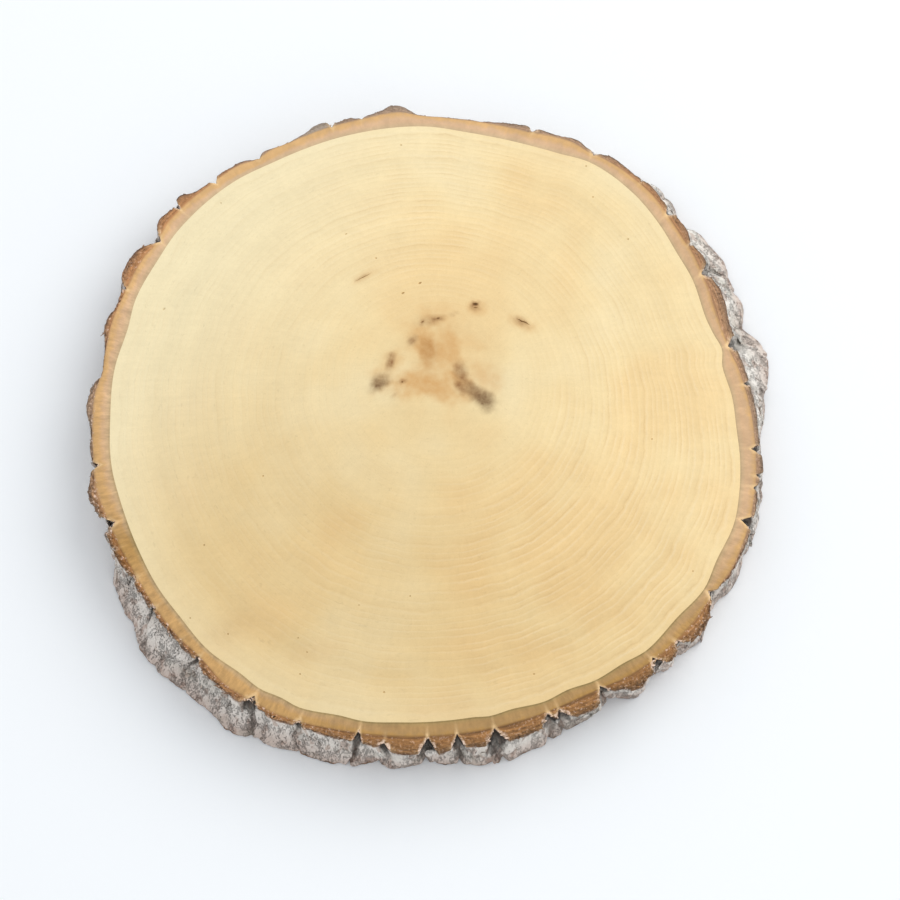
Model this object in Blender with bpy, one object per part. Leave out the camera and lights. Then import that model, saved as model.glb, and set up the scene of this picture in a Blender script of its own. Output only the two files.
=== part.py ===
"""Wood slice: a disc cut across a linden trunk, sanded on both faces, with its bark left on.

It grew as one piece, so it is one solid. It lies flat: +Z is up, out of the cut face, and the
origin is on the underside, in the middle of the slice's box. Angles are in degrees, counted
anticlockwise from +X as seen from above. Round the slice, its shape comes from four things: the
line between wood and bark, the edge of the bark, the fissures that cut into that edge, and how
far the bark flares out on its way down to the underside.
"""

import math

import bmesh
import bpy
from mathutils import Matrix, Vector, noise

MM = 0.001

# Driving dimensions, in metres
THICKNESS = 0.026
TRUNK_CENTRE = (-0.0026, -0.0032)
PITH_FROM_CENTRE = (0.008, 0.026)
EDGE_DROP = 0.0009
EDGE_INSET = 0.0006
WOOD_SHARE_OF_FLARE = 0.75
LEAST_BARK = 0.0022
FISSURE_POINT = 1.1
FISSURE_CLOSES = 0.6
FISSURE_DRIFT = 3.2
PLATE_RELIEF = 0.0011
PLATE_WIDTH = 0.016
PLATE_HEIGHT = 0.03
FURROW_DEPTH = 0.0014
FURROW_REACH = 0.22

# How finely the solid is cut
COLUMNS = 480
WALL_DROPS = (0.14, 0.28, 0.43, 0.58, 0.72, 0.86)

# The line between wood and bark on the cut face, as (degrees, millimetres from the trunk's centre)
CAMBIUM = (
    (0, 125.6), (6, 124.8), (12, 123.2), (15.5, 124.9), (19, 123.6), (23, 123.4), (30, 125.9),
    (36, 127.0), (42, 129.3), (50, 131.8), (59, 132.4), (65, 129.8), (73, 128.2), (82, 128.0),
    (90, 129.4), (105, 129.4), (118, 129.5), (127, 131.1), (140, 131.1), (147, 129.9),
    (155, 129.3), (161, 127.2), (169, 127.5), (178, 126.4), (187, 126.3), (195, 125.0),
    (204, 124.4), (212, 124.5), (219, 124.1), (227, 125.0), (234, 124.1), (239, 125.0),
    (243, 124.1), (247, 124.6), (254, 122.4), (259, 122.4), (266, 120.9), (279, 120.1),
    (282.5, 120.9), (287, 120.4), (293, 121.9), (298, 121.6), (303, 123.8), (309, 124.8),
    (314, 127.1), (322, 127.3), (329, 129.7), (335, 128.8), (342, 130.0), (348, 129.0),
    (354, 127.5),
)

# The edge of the bark on the cut face, with its plates and without its fissures, in the same terms
BARK_EDGE = (
    (0, 134.4), (4, 133.8), (8, 132.9), (12, 131.5), (14, 131.0), (18, 131.4), (21, 132.0),
    (24, 133.2), (27, 133.8), (29, 133.4), (32, 134.9), (36, 134.6), (38, 136.3), (41, 137.2),
    (44, 137.6), (48, 139.0), (52, 138.5), (56, 139.5), (58.5, 138.2), (60.5, 137.4), (63, 139.0),
    (66, 137.4), (69.5, 137.0), (73, 136.5), (76, 135.3), (81, 133.9), (86, 134.1), (91, 134.7),
    (92.5, 136.8), (94.2, 139.3), (96, 139.5), (97.5, 138.2), (99.5, 137.1), (101.5, 136.2),
    (103, 137.3), (105.5, 136.6), (108, 138.1), (109.5, 137.6), (111, 136.3), (115, 134.8),
    (119, 135.8), (121, 134.6), (123, 136.6), (127.5, 137.9), (131, 137.7), (133.2, 138.6),
    (135.5, 141.4), (137.5, 139.8), (140.5, 140.3), (142.3, 138.6), (144.5, 137.0), (147, 139.9),
    (149.5, 140.5), (152, 139.8), (154, 137.4), (156, 136.0), (158, 135.8), (159.5, 137.0),
    (162.5, 136.5), (165, 134.4), (168, 133.0), (170.6, 132.8), (172, 134.8), (174, 136.4),
    (177, 136.6), (179.5, 134.9), (183, 134.8), (186, 134.4), (189, 136.0), (191.5, 137.6),
    (195, 135.6), (198, 134.6), (201, 134.4), (204, 133.8), (207, 132.4), (213, 131.6), (220, 131.5),
    (226, 131.6), (230, 133.2), (236, 133.8), (241, 132.4), (244, 133.3), (249, 131.7), (257, 131.8),
    (262, 132.2), (266, 134.0), (270, 133.3), (273, 133.4), (276, 131.9), (280, 132.4), (284, 133.2),
    (290, 132.0), (296, 132.4), (300, 133.9), (303, 132.4), (305.5, 132.4), (308, 136.3),
    (309.3, 137.4), (311, 136.2), (313.5, 135.4), (315.5, 137.4), (318.5, 136.2), (321.3, 138.8),
    (324.5, 138.8), (327.5, 135.8), (331, 135.0), (333.4, 136.9), (337, 137.2), (341, 137.6),
    (345, 137.2), (350, 136.6), (352.5, 137.4), (356, 135.8), (358.5, 134.6),
)

# Fissures of the bark, as (degrees, depth in millimetres, half the width of the mouth in millimetres)
FISSURES = (
    (8.1, 2.4, 1.6), (15.8, 3.6, 4.0), (29.9, 3.9, 3.2), (35.8, 1.3, 1.2), (42.5, 2.8, 2.6),
    (49.8, 0.9, 1.0), (59.5, 2.0, 2.2), (70.7, 2.0, 2.4), (101.2, 0.8, 1.0), (106.4, 2.4, 1.6),
    (120.6, 0.9, 1.6), (129.2, 2.7, 2.2), (137.0, 3.8, 1.4), (143.7, 3.6, 3.6), (154.1, 2.6, 1.8),
    (186.7, 3.4, 2.2), (197.7, 5.4, 4.4), (202.2, 1.2, 1.2), (208.4, 2.0, 2.8), (214.8, 2.2, 1.6),
    (222.3, 0.9, 1.4), (226.7, 2.6, 1.8), (238.8, 4.6, 4.0), (247.8, 3.0, 2.2), (258.5, 5.9, 2.2),
    (263.2, 3.0, 3.4), (270.7, 6.6, 4.0), (276.0, 5.7, 3.2), (282.8, 7.2, 5.0), (292.8, 5.0, 4.6),
    (294.8, 4.8, 4.0), (303.2, 5.5, 3.8), (313.6, 4.6, 3.6), (318.6, 2.8, 2.8), (328.9, 3.5, 2.8),
    (343.3, 5.2, 3.2), (349.5, 2.5, 1.5), (351.5, 2.5, 1.4), (356.3, 4.0, 2.6),
)

# How much farther out the bark reaches at the underside, as (degrees, millimetres)
FLARE = (
    (0, 4.5), (5, 7.6), (10, 11.5), (13, 14.2), (16, 16.0), (18, 14.5), (21, 10.8), (25, 12.0), (30, 13.0),
    (35, 12.8), (38, 10.2), (42, 6.5), (45, 8.6), (50, 9.4), (56, 8.4), (62, 5.0), (70, 2.8),
    (85, 2.0), (110, 1.6), (140, 1.0), (160, 0.6), (170, -0.6), (180, -1.8), (190, -2.8), (198, -2.6),
    (202, 0.4), (205, 4.6), (210, 9.0), (215, 11.0), (220, 12.2), (225, 11.2), (230, 8.0),
    (235, 9.5), (240, 9.4), (245, 7.2), (250, 7.2), (255, 5.6), (260, 3.4),
    (265, 1.6), (270, 0.0), (275, 1.6), (280, 3.2), (288, 2.6), (294, 0.0), (300, -1.2), (307, -1.4),
    (314, -1.4), (319, -2.2), (325, -0.4), (332, 0.8), (342, 1.4), (350, 2.4),
)


def clear_scene():
    """Removes every object, so that the script starts from nothing."""
    for obj in list(bpy.data.objects):
        bpy.data.objects.remove(obj, do_unlink=True)


def through(points, degrees):
    """The height at this angle of a smooth closed curve through (degrees, height) points."""
    degrees %= 360.0
    count = len(points)
    after = next((i for i, point in enumerate(points) if point[0] > degrees), count)
    angles, heights = [], []
    for step in (-2, -1, 0, 1):
        turns, index = divmod(after + step, count)
        angles.append(points[index][0] + 360.0 * turns)
        heights.append(points[index][1])
    span = angles[2] - angles[1]
    rise_1 = (heights[2] - heights[0]) / (angles[2] - angles[0]) * span
    rise_2 = (heights[3] - heights[1]) / (angles[3] - angles[1]) * span
    t = (degrees - angles[1]) / span
    return (
        heights[1] * (1 + 2 * t) * (1 - t) ** 2
        + rise_1 * t * (1 - t) ** 2
        + heights[2] * t * t * (3 - 2 * t)
        - rise_2 * t * t * (1 - t)
    )


def fissure_depth(degrees, drop):
    """How deep the deepest fissure here cuts into the bark, in metres. A drop is the share of the
    way down the wall. Each fissure wanders sideways and closes on its way down."""
    radius = through(BARK_EDGE, degrees)
    deepest = 0.0
    for number, (place, depth, half_width) in enumerate(FISSURES):
        wander = noise.noise((number * 2.7, drop * 1.6, 0.0)) - noise.noise((number * 2.7, 0.0, 0.0))
        aside = (degrees - place - FISSURE_DRIFT * wander + 180.0) % 360.0 - 180.0
        share = abs(math.radians(aside) * radius) / (half_width * (1 - FISSURE_CLOSES * drop))
        if share < 1.0:
            deepest = max(deepest, depth * (1 - share) ** FISSURE_POINT)
    return deepest * MM * (1 - FISSURE_CLOSES * drop)


def plate_relief(degrees, drop):
    """How far the bark bulges here, in metres: its plates, with a net of furrows between them. It
    is nothing at the cut face, whose edge is given, and full a third of the way down."""
    angle = math.radians(degrees)
    radius = through(BARK_EDGE, degrees) * MM
    point = Vector((
        radius * math.cos(angle) / PLATE_WIDTH,
        radius * math.sin(angle) / PLATE_WIDTH,
        THICKNESS * drop / PLATE_HEIGHT,
    ))
    furrow = max(0.0, 1.0 - abs(noise.noise(point)) / FURROW_REACH)
    bulge = 2.0 * noise.noise(point + Vector((9.0, 4.0, 1.0)))
    return min(1.0, 3.0 * drop) * (PLATE_RELIEF * bulge - FURROW_DEPTH * furrow)


def wood_radius(degrees, drop):
    """Distance of the line between wood and bark from the trunk's centre, in metres."""
    return (through(CAMBIUM, degrees) + WOOD_SHARE_OF_FLARE * through(FLARE, degrees) * drop) * MM


def bark_radius(degrees, drop):
    """Distance of the bark's outside from the trunk's centre, in metres."""
    crest = (through(BARK_EDGE, degrees) + through(FLARE, degrees) * drop) * MM
    outside = crest + plate_relief(degrees, drop) - fissure_depth(degrees, drop)
    return max(outside, wood_radius(degrees, drop) + LEAST_BARK)


def profile(degrees):
    """The slice's outline down one column, as (radius, height) from the cut face's wood line, out
    over the bark, down the wall and back in to the underside's wood line."""
    top_edge, low_edge = EDGE_DROP / THICKNESS, 1 - EDGE_DROP / THICKNESS
    points = [
        (wood_radius(degrees, 0.0), THICKNESS),
        (bark_radius(degrees, 0.0) - EDGE_INSET, THICKNESS),
        (bark_radius(degrees, top_edge), THICKNESS - EDGE_DROP),
    ]
    points += [(bark_radius(degrees, drop), THICKNESS * (1 - drop)) for drop in WALL_DROPS]
    points += [
        (bark_radius(degrees, low_edge), EDGE_DROP),
        (bark_radius(degrees, 1.0) - EDGE_INSET, 0.0),
        (wood_radius(degrees, 1.0), 0.0),
    ]
    return points


def ringed_drum(columns, rings):
    """A closed drum one unit high and wide, cut into level rings of vertices."""
    bm = bmesh.new()
    bmesh.ops.create_cone(
        bm,
        cap_ends=True,
        segments=columns,
        radius1=1.0,
        radius2=1.0,
        depth=1.0,
        matrix=Matrix.Translation((0.0, 0.0, 0.5)),
    )
    uprights = [edge for edge in bm.edges if abs(edge.verts[0].co.z - edge.verts[1].co.z) > 0.5]
    bmesh.ops.subdivide_edges(bm, edges=uprights, cuts=rings - 2)
    return bm


def grow_slice(bm, rings):
    """Moves each ring of the drum to its place on the slice, and gives both faces their pith."""
    columns = {}
    for vert in bm.verts:
        degrees = round(math.degrees(math.atan2(vert.co.y, vert.co.x)) % 360.0, 3)
        columns.setdefault(degrees, []).append(vert)
    for degrees, verts in columns.items():
        angle = math.radians(degrees)
        outline = profile(degrees)
        for vert in verts:
            radius, height = outline[round((1.0 - vert.co.z) * (rings - 1))]
            vert.co.x = TRUNK_CENTRE[0] + radius * math.cos(angle)
            vert.co.y = TRUNK_CENTRE[1] + radius * math.sin(angle)
            vert.co.z = height
    ends = [face for face in bm.faces if len(face.verts) > 4]
    for pith in bmesh.ops.poke(bm, faces=ends)["verts"]:
        pith.co.x = TRUNK_CENTRE[0] + PITH_FROM_CENTRE[0]
        pith.co.y = TRUNK_CENTRE[1] + PITH_FROM_CENTRE[1]


def finish(name, colour, roughness):
    """A plain Principled material."""
    material = bpy.data.materials.new(name)
    material.use_nodes = True
    shader = material.node_tree.nodes["Principled BSDF"]
    shader.inputs["Base Color"].default_value = (*colour, 1.0)
    shader.inputs["Roughness"].default_value = roughness
    shader.inputs["Metallic"].default_value = 0.0
    return material


def paint_bark(mesh, bark_slot):
    """Gives the bark's finish to every face that lies outside the line between wood and bark."""
    for face in mesh.polygons:
        aside = face.center - Vector((*TRUNK_CENTRE, 0.0))
        degrees = math.degrees(math.atan2(aside.y, aside.x))
        drop = 1.0 - face.center.z / THICKNESS
        if aside.to_2d().length > wood_radius(degrees, drop):
            face.material_index = bark_slot


def make_slice(collection):
    """The whole slice, as one object in this collection."""
    rings = len(profile(0.0))
    bm = ringed_drum(COLUMNS, rings)
    grow_slice(bm, rings)
    bmesh.ops.triangulate(bm, faces=bm.faces)
    bmesh.ops.recalc_face_normals(bm, faces=bm.faces)
    mesh = bpy.data.meshes.new("wood_slice")
    bm.to_mesh(mesh)
    bm.free()
    mesh.materials.append(finish("sanded linden end grain", (0.87, 0.73, 0.45), 0.6))
    mesh.materials.append(finish("linden bark", (0.32, 0.24, 0.19), 0.9))
    paint_bark(mesh, bark_slot=1)
    mesh.shade_smooth()
    mesh.set_sharp_from_angle(angle=math.radians(35.0))
    obj = bpy.data.objects.new("wood_slice", mesh)
    collection.objects.link(obj)
    return obj


def main():
    """Builds the slice."""
    clear_scene()
    collection = bpy.data.collections.new("wood slice")
    bpy.context.scene.collection.children.link(collection)
    make_slice(collection)


main()
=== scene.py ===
"""Wood slice: the looks of a disc cut across a linden trunk, with its bark left on.

The slice lies flat with its sanded face up. Angles are in degrees, counted anticlockwise from +X
about the trunk's centre, and a drop is the share of the way down from the cut face to the
underside. Lists that describe the tree are in degrees and millimetres; everything that is built
is in metres, in the frame's own coordinates.
"""

from __future__ import annotations

import logging
import math
from collections.abc import Mapping, Sequence
from dataclasses import dataclass, field
from enum import Enum
from functools import partial
from typing import Any

import bmesh
import bpy
import numpy as np
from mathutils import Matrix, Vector, noise

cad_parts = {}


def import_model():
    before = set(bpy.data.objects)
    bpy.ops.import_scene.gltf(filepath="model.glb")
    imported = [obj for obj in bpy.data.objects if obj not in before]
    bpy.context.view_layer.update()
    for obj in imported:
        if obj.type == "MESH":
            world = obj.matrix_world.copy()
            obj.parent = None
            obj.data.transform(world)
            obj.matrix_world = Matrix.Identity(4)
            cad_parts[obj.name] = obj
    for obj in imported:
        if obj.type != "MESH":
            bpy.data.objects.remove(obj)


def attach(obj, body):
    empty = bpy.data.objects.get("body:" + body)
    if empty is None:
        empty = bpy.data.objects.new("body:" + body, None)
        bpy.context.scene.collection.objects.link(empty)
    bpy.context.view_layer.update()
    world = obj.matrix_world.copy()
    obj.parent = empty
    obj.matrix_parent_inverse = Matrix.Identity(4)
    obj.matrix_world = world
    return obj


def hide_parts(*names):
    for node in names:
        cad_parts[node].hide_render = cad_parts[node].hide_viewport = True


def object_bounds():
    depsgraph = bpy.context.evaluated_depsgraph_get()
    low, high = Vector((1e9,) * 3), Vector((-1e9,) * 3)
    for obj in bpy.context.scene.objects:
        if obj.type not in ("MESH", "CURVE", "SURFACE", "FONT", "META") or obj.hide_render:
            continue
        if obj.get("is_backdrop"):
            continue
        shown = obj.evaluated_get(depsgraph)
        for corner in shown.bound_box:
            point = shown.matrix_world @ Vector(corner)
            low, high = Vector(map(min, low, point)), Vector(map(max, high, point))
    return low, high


LOG = logging.getLogger("wood_slice")

MM = 0.001
FULL_TURN = 360.0
NODE = "wood_slice"
BODY = "root"

# The index of refraction of wood, bark and paper, whose fibres are much the same
PLANT_IOR = 1.45

Curve = tuple[tuple[float, float], ...]
Source = bpy.types.Node | tuple[bpy.types.Node, str]

NODE_PREFIXES = ("ShaderNode", "GeometryNode", "FunctionNode", "Node")

# The property that a node's option sets, where it isn't the node's operation
OPTION_PROPERTIES = {
    "Attribute": "attribute_name", "Mix": "blend_type", "TexNoise": "noise_dimensions",
    "TexVoronoi": "feature", "MapRange": "interpolation_type", "InputNamedAttribute": "data_type",
    "StoreNamedAttribute": "data_type", "RandomValue": "data_type", "RotateRotation": "rotation_space",
}

# The line between wood and bark on the cut face, as (degrees, millimetres from the trunk's centre)
CAMBIUM: Curve = (
    (0, 125.6), (6, 124.8), (12, 123.2), (15.5, 124.9), (19, 123.6), (23, 123.4), (30, 125.9),
    (36, 127.0), (42, 129.3), (50, 131.8), (59, 132.4), (65, 129.8), (73, 128.2), (82, 128.0),
    (90, 129.4), (105, 129.4), (118, 129.5), (127, 131.1), (140, 131.1), (147, 129.9),
    (155, 129.3), (161, 127.2), (169, 127.5), (178, 126.4), (187, 126.3), (195, 125.0),
    (204, 124.4), (212, 124.5), (219, 124.1), (227, 125.0), (234, 124.1), (239, 125.0),
    (243, 124.1), (247, 124.6), (254, 122.4), (259, 122.4), (266, 120.9), (279, 120.1),
    (282.5, 120.9), (287, 120.4), (293, 121.9), (298, 121.6), (303, 123.8), (309, 124.8),
    (314, 127.1), (322, 127.3), (329, 129.7), (335, 128.8), (342, 130.0), (348, 129.0),
    (354, 127.5),
)

# The line between the pale inner bark and the brown outer bark, in the same terms
BAST_EDGE: Curve = (
    (1, 132.3), (6, 131.0), (9, 130.0), (12, 129.1), (15, 127.9), (20, 127.5), (24, 128.2),
    (27, 129.5), (31, 130.9), (34, 132.1), (38, 132.8), (42, 134.3), (46, 136.1), (51, 136.9),
    (57, 136.9), (60, 136.2), (64, 136.8), (68, 135.5), (71, 134.2), (75, 133.7), (80, 133.4),
    (85, 133.4), (91, 134.4), (94, 136.0), (97, 136.0), (101, 135.2), (107, 135.0), (114, 134.5),
    (118, 134.9), (121, 134.1), (124, 135.8), (130, 136.2), (140, 136.5), (144, 134.8), (148, 135.3),
    (154, 134.6), (160, 134.3), (166, 133.0), (171, 132.7), (174, 133.5), (184, 133.3), (191, 133.5),
    (195, 132.4), (201, 131.0), (208, 129.9), (220, 130.0), (227, 129.4), (234, 131.4), (239, 130.8),
    (243, 131.0), (250, 129.4), (258, 127.6), (270, 126.4), (276, 126.2), (283, 126.0), (297, 126.6),
    (303, 127.8), (308, 130.0), (313, 131.6), (322, 133.4), (329, 134.0), (335, 135.8), (342, 135.9),
    (349, 135.0), (355, 133.8),
)

# The edge of the bark on the cut face, with its plates and without its fissures
BARK_EDGE: Curve = (
    (0, 134.4), (4, 133.8), (8, 132.9), (12, 131.5), (14, 131.0), (18, 131.4), (21, 132.0),
    (24, 133.2), (27, 133.8), (29, 133.4), (32, 134.9), (36, 134.6), (38, 136.3), (41, 137.2),
    (44, 137.6), (48, 139.0), (52, 138.5), (56, 139.5), (58.5, 138.2), (60.5, 137.4), (63, 139.0),
    (66, 137.4), (69.5, 137.0), (73, 136.5), (76, 135.3), (81, 133.9), (86, 134.1), (91, 134.7),
    (92.5, 136.8), (94.2, 139.3), (96, 139.5), (97.5, 138.2), (99.5, 137.1), (101.5, 136.2),
    (103, 137.3), (105.5, 136.6), (108, 138.1), (109.5, 137.6), (111, 136.3), (115, 134.8),
    (119, 135.8), (121, 134.6), (123, 136.6), (127.5, 137.9), (131, 137.7), (133.2, 138.6),
    (135.5, 141.4), (137.5, 139.8), (140.5, 140.3), (142.3, 138.6), (144.5, 137.0), (147, 139.9),
    (149.5, 140.5), (152, 139.8), (154, 137.4), (156, 136.0), (158, 135.8), (159.5, 137.0),
    (162.5, 136.5), (165, 134.4), (168, 133.0), (170.6, 132.8), (172, 134.8), (174, 136.4),
    (177, 136.6), (179.5, 134.9), (183, 134.8), (186, 134.4), (189, 136.0), (191.5, 137.6),
    (195, 135.6), (198, 134.6), (201, 134.4), (204, 133.8), (207, 132.4), (213, 131.6), (220, 131.5),
    (226, 131.6), (230, 133.2), (236, 133.8), (241, 132.4), (244, 133.3), (249, 131.7), (257, 131.8),
    (262, 132.2), (266, 134.0), (270, 133.3), (273, 133.4), (276, 131.9), (280, 132.4), (284, 133.2),
    (290, 132.0), (296, 132.4), (300, 133.9), (303, 132.4), (305.5, 132.4), (308, 136.3),
    (309.3, 137.4), (311, 136.2), (313.5, 135.4), (315.5, 137.4), (318.5, 136.2), (321.3, 138.8),
    (324.5, 138.8), (327.5, 135.8), (331, 135.0), (333.4, 136.9), (337, 137.2), (341, 137.6),
    (345, 137.2), (350, 136.6), (352.5, 137.4), (356, 135.8), (358.5, 134.6),
)

# How much farther out the bark reaches at the underside, as (degrees, millimetres)
FLARE: Curve = (
    (0, 4.5), (5, 7.6), (10, 11.5), (13, 14.2), (16, 16.0), (18, 14.5), (21, 10.8), (25, 12.0),
    (30, 13.0), (35, 12.8), (38, 10.2), (42, 6.5), (45, 8.6), (50, 9.4), (56, 8.4), (62, 5.0), (70, 2.8),
    (85, 2.0), (110, 1.6), (140, 1.0), (160, 0.6), (170, -0.6), (180, -1.8), (190, -2.8), (198, -2.6),
    (202, 0.4), (205, 4.6), (210, 9.0), (215, 11.0), (220, 12.2), (225, 11.2), (230, 8.0),
    (235, 9.5), (240, 9.4), (245, 7.2), (250, 7.2), (255, 5.6), (260, 3.4),
    (265, 1.6), (270, 0.0), (275, 1.6), (280, 3.2), (288, 2.6), (294, 0.0), (300, -1.2), (307, -1.4),
    (314, -1.4), (319, -2.2), (325, -0.4), (332, 0.8), (342, 1.4), (350, 2.4),
)

# Fissures of the bark, as (degrees, depth in millimetres, half the width of the mouth in millimetres)
FISSURES: tuple[tuple[float, float, float], ...] = (
    (8.1, 2.4, 1.6), (15.8, 3.6, 4.0), (29.9, 3.9, 3.2), (35.8, 1.3, 1.2), (42.5, 2.8, 2.6),
    (49.8, 0.9, 1.0), (59.5, 2.0, 2.2), (70.7, 2.0, 2.4), (101.2, 0.8, 1.0), (106.4, 2.4, 1.6),
    (120.6, 0.9, 1.6), (129.2, 2.7, 2.2), (137.0, 3.8, 1.4), (143.7, 3.6, 3.6), (154.1, 2.6, 1.8),
    (186.7, 3.4, 2.2), (197.7, 5.4, 4.4), (202.2, 1.2, 1.2), (208.4, 2.0, 2.8), (214.8, 2.2, 1.6),
    (222.3, 0.9, 1.4), (226.7, 2.6, 1.8), (238.8, 4.6, 4.0), (247.8, 3.0, 2.2), (258.5, 5.9, 2.2),
    (263.2, 3.0, 3.4), (270.7, 6.6, 4.0), (276.0, 5.7, 3.2), (282.8, 7.2, 5.0), (292.8, 5.0, 4.6),
    (294.8, 4.8, 4.0), (303.2, 5.5, 3.8), (313.6, 4.6, 3.6), (318.6, 2.8, 2.8), (328.9, 3.5, 2.8),
    (343.3, 5.2, 3.2), (349.5, 2.5, 1.5), (351.5, 2.5, 1.4), (356.3, 4.0, 2.6),
)

# How golden the inner bark is, from pinkish tan at 0 to golden brown at 1
GOLDEN: Curve = (
    (5, 0.15), (40, 0.2), (58, 0.45), (85, 0.3), (95, 0.25), (110, 0.5), (124, 0.8), (138, 0.35),
    (150, 0.35), (165, 0.4), (185, 0.5), (198, 0.7), (205, 1.0), (232, 0.85), (250, 0.5), (265, 0.15),
    (290, 0.1), (305, 0.3), (330, 0.35), (350, 0.2),
)

# How frayed the edge of the cut bark is, from clean at 0 to torn at 1
FRAYED: Curve = (
    (5, 0.25), (40, 0.2), (80, 0.1), (120, 0.15), (142, 0.3), (155, 0.7), (168, 0.8), (182, 0.8),
    (198, 0.95), (212, 1.0), (240, 0.9), (256, 0.6), (266, 0.4), (282, 0.35), (292, 0.5), (304, 0.6),
    (312, 0.7), (326, 0.75), (338, 0.65), (350, 0.4),
)

# How strongly a dark line marks the inner bark off from the outer
SEAM: Curve = (
    (10, 0.15), (60, 0.2), (120, 0.1), (190, 0.15), (205, 0.55), (228, 0.5), (245, 0.45),
    (256, 0.95), (302, 0.95), (318, 0.35), (350, 0.2),
)

# How pale the weathered bark is, from dark at 0 to pale at 1: partly paler bark, partly painted light on the
# side towards the lamp
LIT_AND_BLEACHED: Curve = (
    (5, 0.95), (30, 1.0), (60, 0.9), (95, 0.45), (140, 0.15), (185, 0.25), (205, 0.65), (225, 0.6),
    (250, 0.7), (285, 0.75), (310, 0.7), (340, 0.8),
)

# How much darker and browner the cut inner bark is, from 0 to 1: partly browner bark, partly painted shade
# towards the bottom, away from the lamp
SHADE_AND_BROWN: Curve = (
    (0, 0.15), (12, 0.2), (30, 0.2), (50, 0.1), (62, 0.05), (80, 0.0), (130, 0.0), (150, 0.05),
    (170, 0.15), (188, 0.35), (198, 0.5), (202, 0.9), (205, 0.85), (210, 0.5), (222, 0.5),
    (242, 0.6), (255, 0.85), (270, 1.0), (305, 1.0), (325, 0.75), (338, 0.35), (350, 0.15),
)

# How greyed the cut outer bark is, from brown at 0 to grey at 1
GREYED: Curve = (
    (0, 0.6), (10, 0.45), (25, 0.3), (50, 0.15), (60, 0.5), (80, 0.6), (92, 0.75), (98, 0.7),
    (105, 0.7), (107.5, 1.0), (110, 1.0), (113, 0.7), (122, 0.5), (129, 0.1), (160, 0.15),
    (170, 0.5), (182, 0.6), (192, 0.3), (200, 0.0), (220, 0.1), (325, 0.1), (334, 0.3), (342, 0.5),
    (352, 0.5),
)

# How clearly the rings show, from hardly at 0 to clearly at 1
RINGS_SHOWN: Curve = (
    (0, 1.0), (18, 0.8), (40, 0.55), (65, 0.6), (90, 1.0), (112, 0.6), (140, 0.35), (185, 0.3),
    (225, 0.35), (250, 0.45), (272, 0.5), (290, 0.8), (310, 1.0), (335, 1.0),
)

# The curves that the bark's materials read, by the attribute that holds each
CURVES = {"golden": GOLDEN, "browned": SHADE_AND_BROWN, "greyed": GREYED, "seam": SEAM, "bleached": LIT_AND_BLEACHED}


@dataclass(frozen=True)
class Pinhole:
    """A small hole in the cut face, in millimetres from the trunk's centre and degrees from +X."""

    x: float
    y: float
    length: float
    width: float
    turn: float = 0.0
    depth: float = 0.5


@dataclass(frozen=True)
class Check:
    """A short crack in the cut face, in millimetres from the trunk's centre."""

    start: tuple[float, float]
    end: tuple[float, float]
    width: float
    depth: float


class Tint(Enum):
    """What stained the wood, which is also the attribute that holds how much."""

    AMBER = "amber"
    BROWN = "brown"
    SMOKE = "smoke"


@dataclass(frozen=True)
class Stain:
    """A stained patch of the cut face: an ellipse in millimetres from the trunk's centre."""

    x: float
    y: float
    reach: float
    half_width: float
    turn: float
    strength: float


PINHOLES: tuple[Pinhole, ...] = tuple(Pinhole(*row) for row in (
    (20.7, 52.5, 2.6, 1.1, 0, 1.0), (20.8, 51.0, 2.2, 0.5, 0, 0.5), (-8.7, 57.2, 1.8, 0.8, 25, 0.75),
    (-1.8, 61.5, 1.8, 0.8, 25, 0.75), (-32.0, 82.6, 1.2, 0.5, 15), (-19.7, 72.2, 1.0, 0.8),
    (-9.7, 121.3, 1.2, 0.7, -20), (66.3, 112.1, 1.0, 0.8), (69.0, 98.6, 0.8, 0.7),
    (83.1, 80.4, 1.1, 0.8), (-105.7, 50.4, 1.8, 1.0, 40), (-83.3, 96.0, 0.7, 0.6),
    (-64.5, -20.0, 1.0, 0.7, 30), (-87.6, -48.6, 1.0, 0.8), (91.6, -4.6, 0.9, 0.7),
    (-92.6, -78.5, 0.9, 0.7), (-77.5, -85.0, 0.9, 0.8), (-48.8, -101.2, 0.9, 0.8),
    (-46.1, -92.3, 0.6, 0.6), (-49.7, -86.6, 0.7, 0.6), (-15.6, -108.5, 1.1, 0.9),
    (-25.7, -73.2, 0.7, 0.5), (-5.4, -69.5, 0.8, 0.6), (43.6, -101.2, 1.0, 0.8),
    (107.1, -59.3, 0.9, 0.6), (-8.9, 19.4, 0.9, 0.8), (-0.8, 44.9, 1.8, 0.6, 30),
    (5.6, 46.4, 1.6, 0.6, 20),
))

CHECKS: tuple[Check, ...] = (
    Check((-28.6, 62.1), (-21.0, 66.0), 0.8, 0.35),
    Check((37.2, 46.5), (43.3, 43.3), 1.4, 0.6),
)

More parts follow.
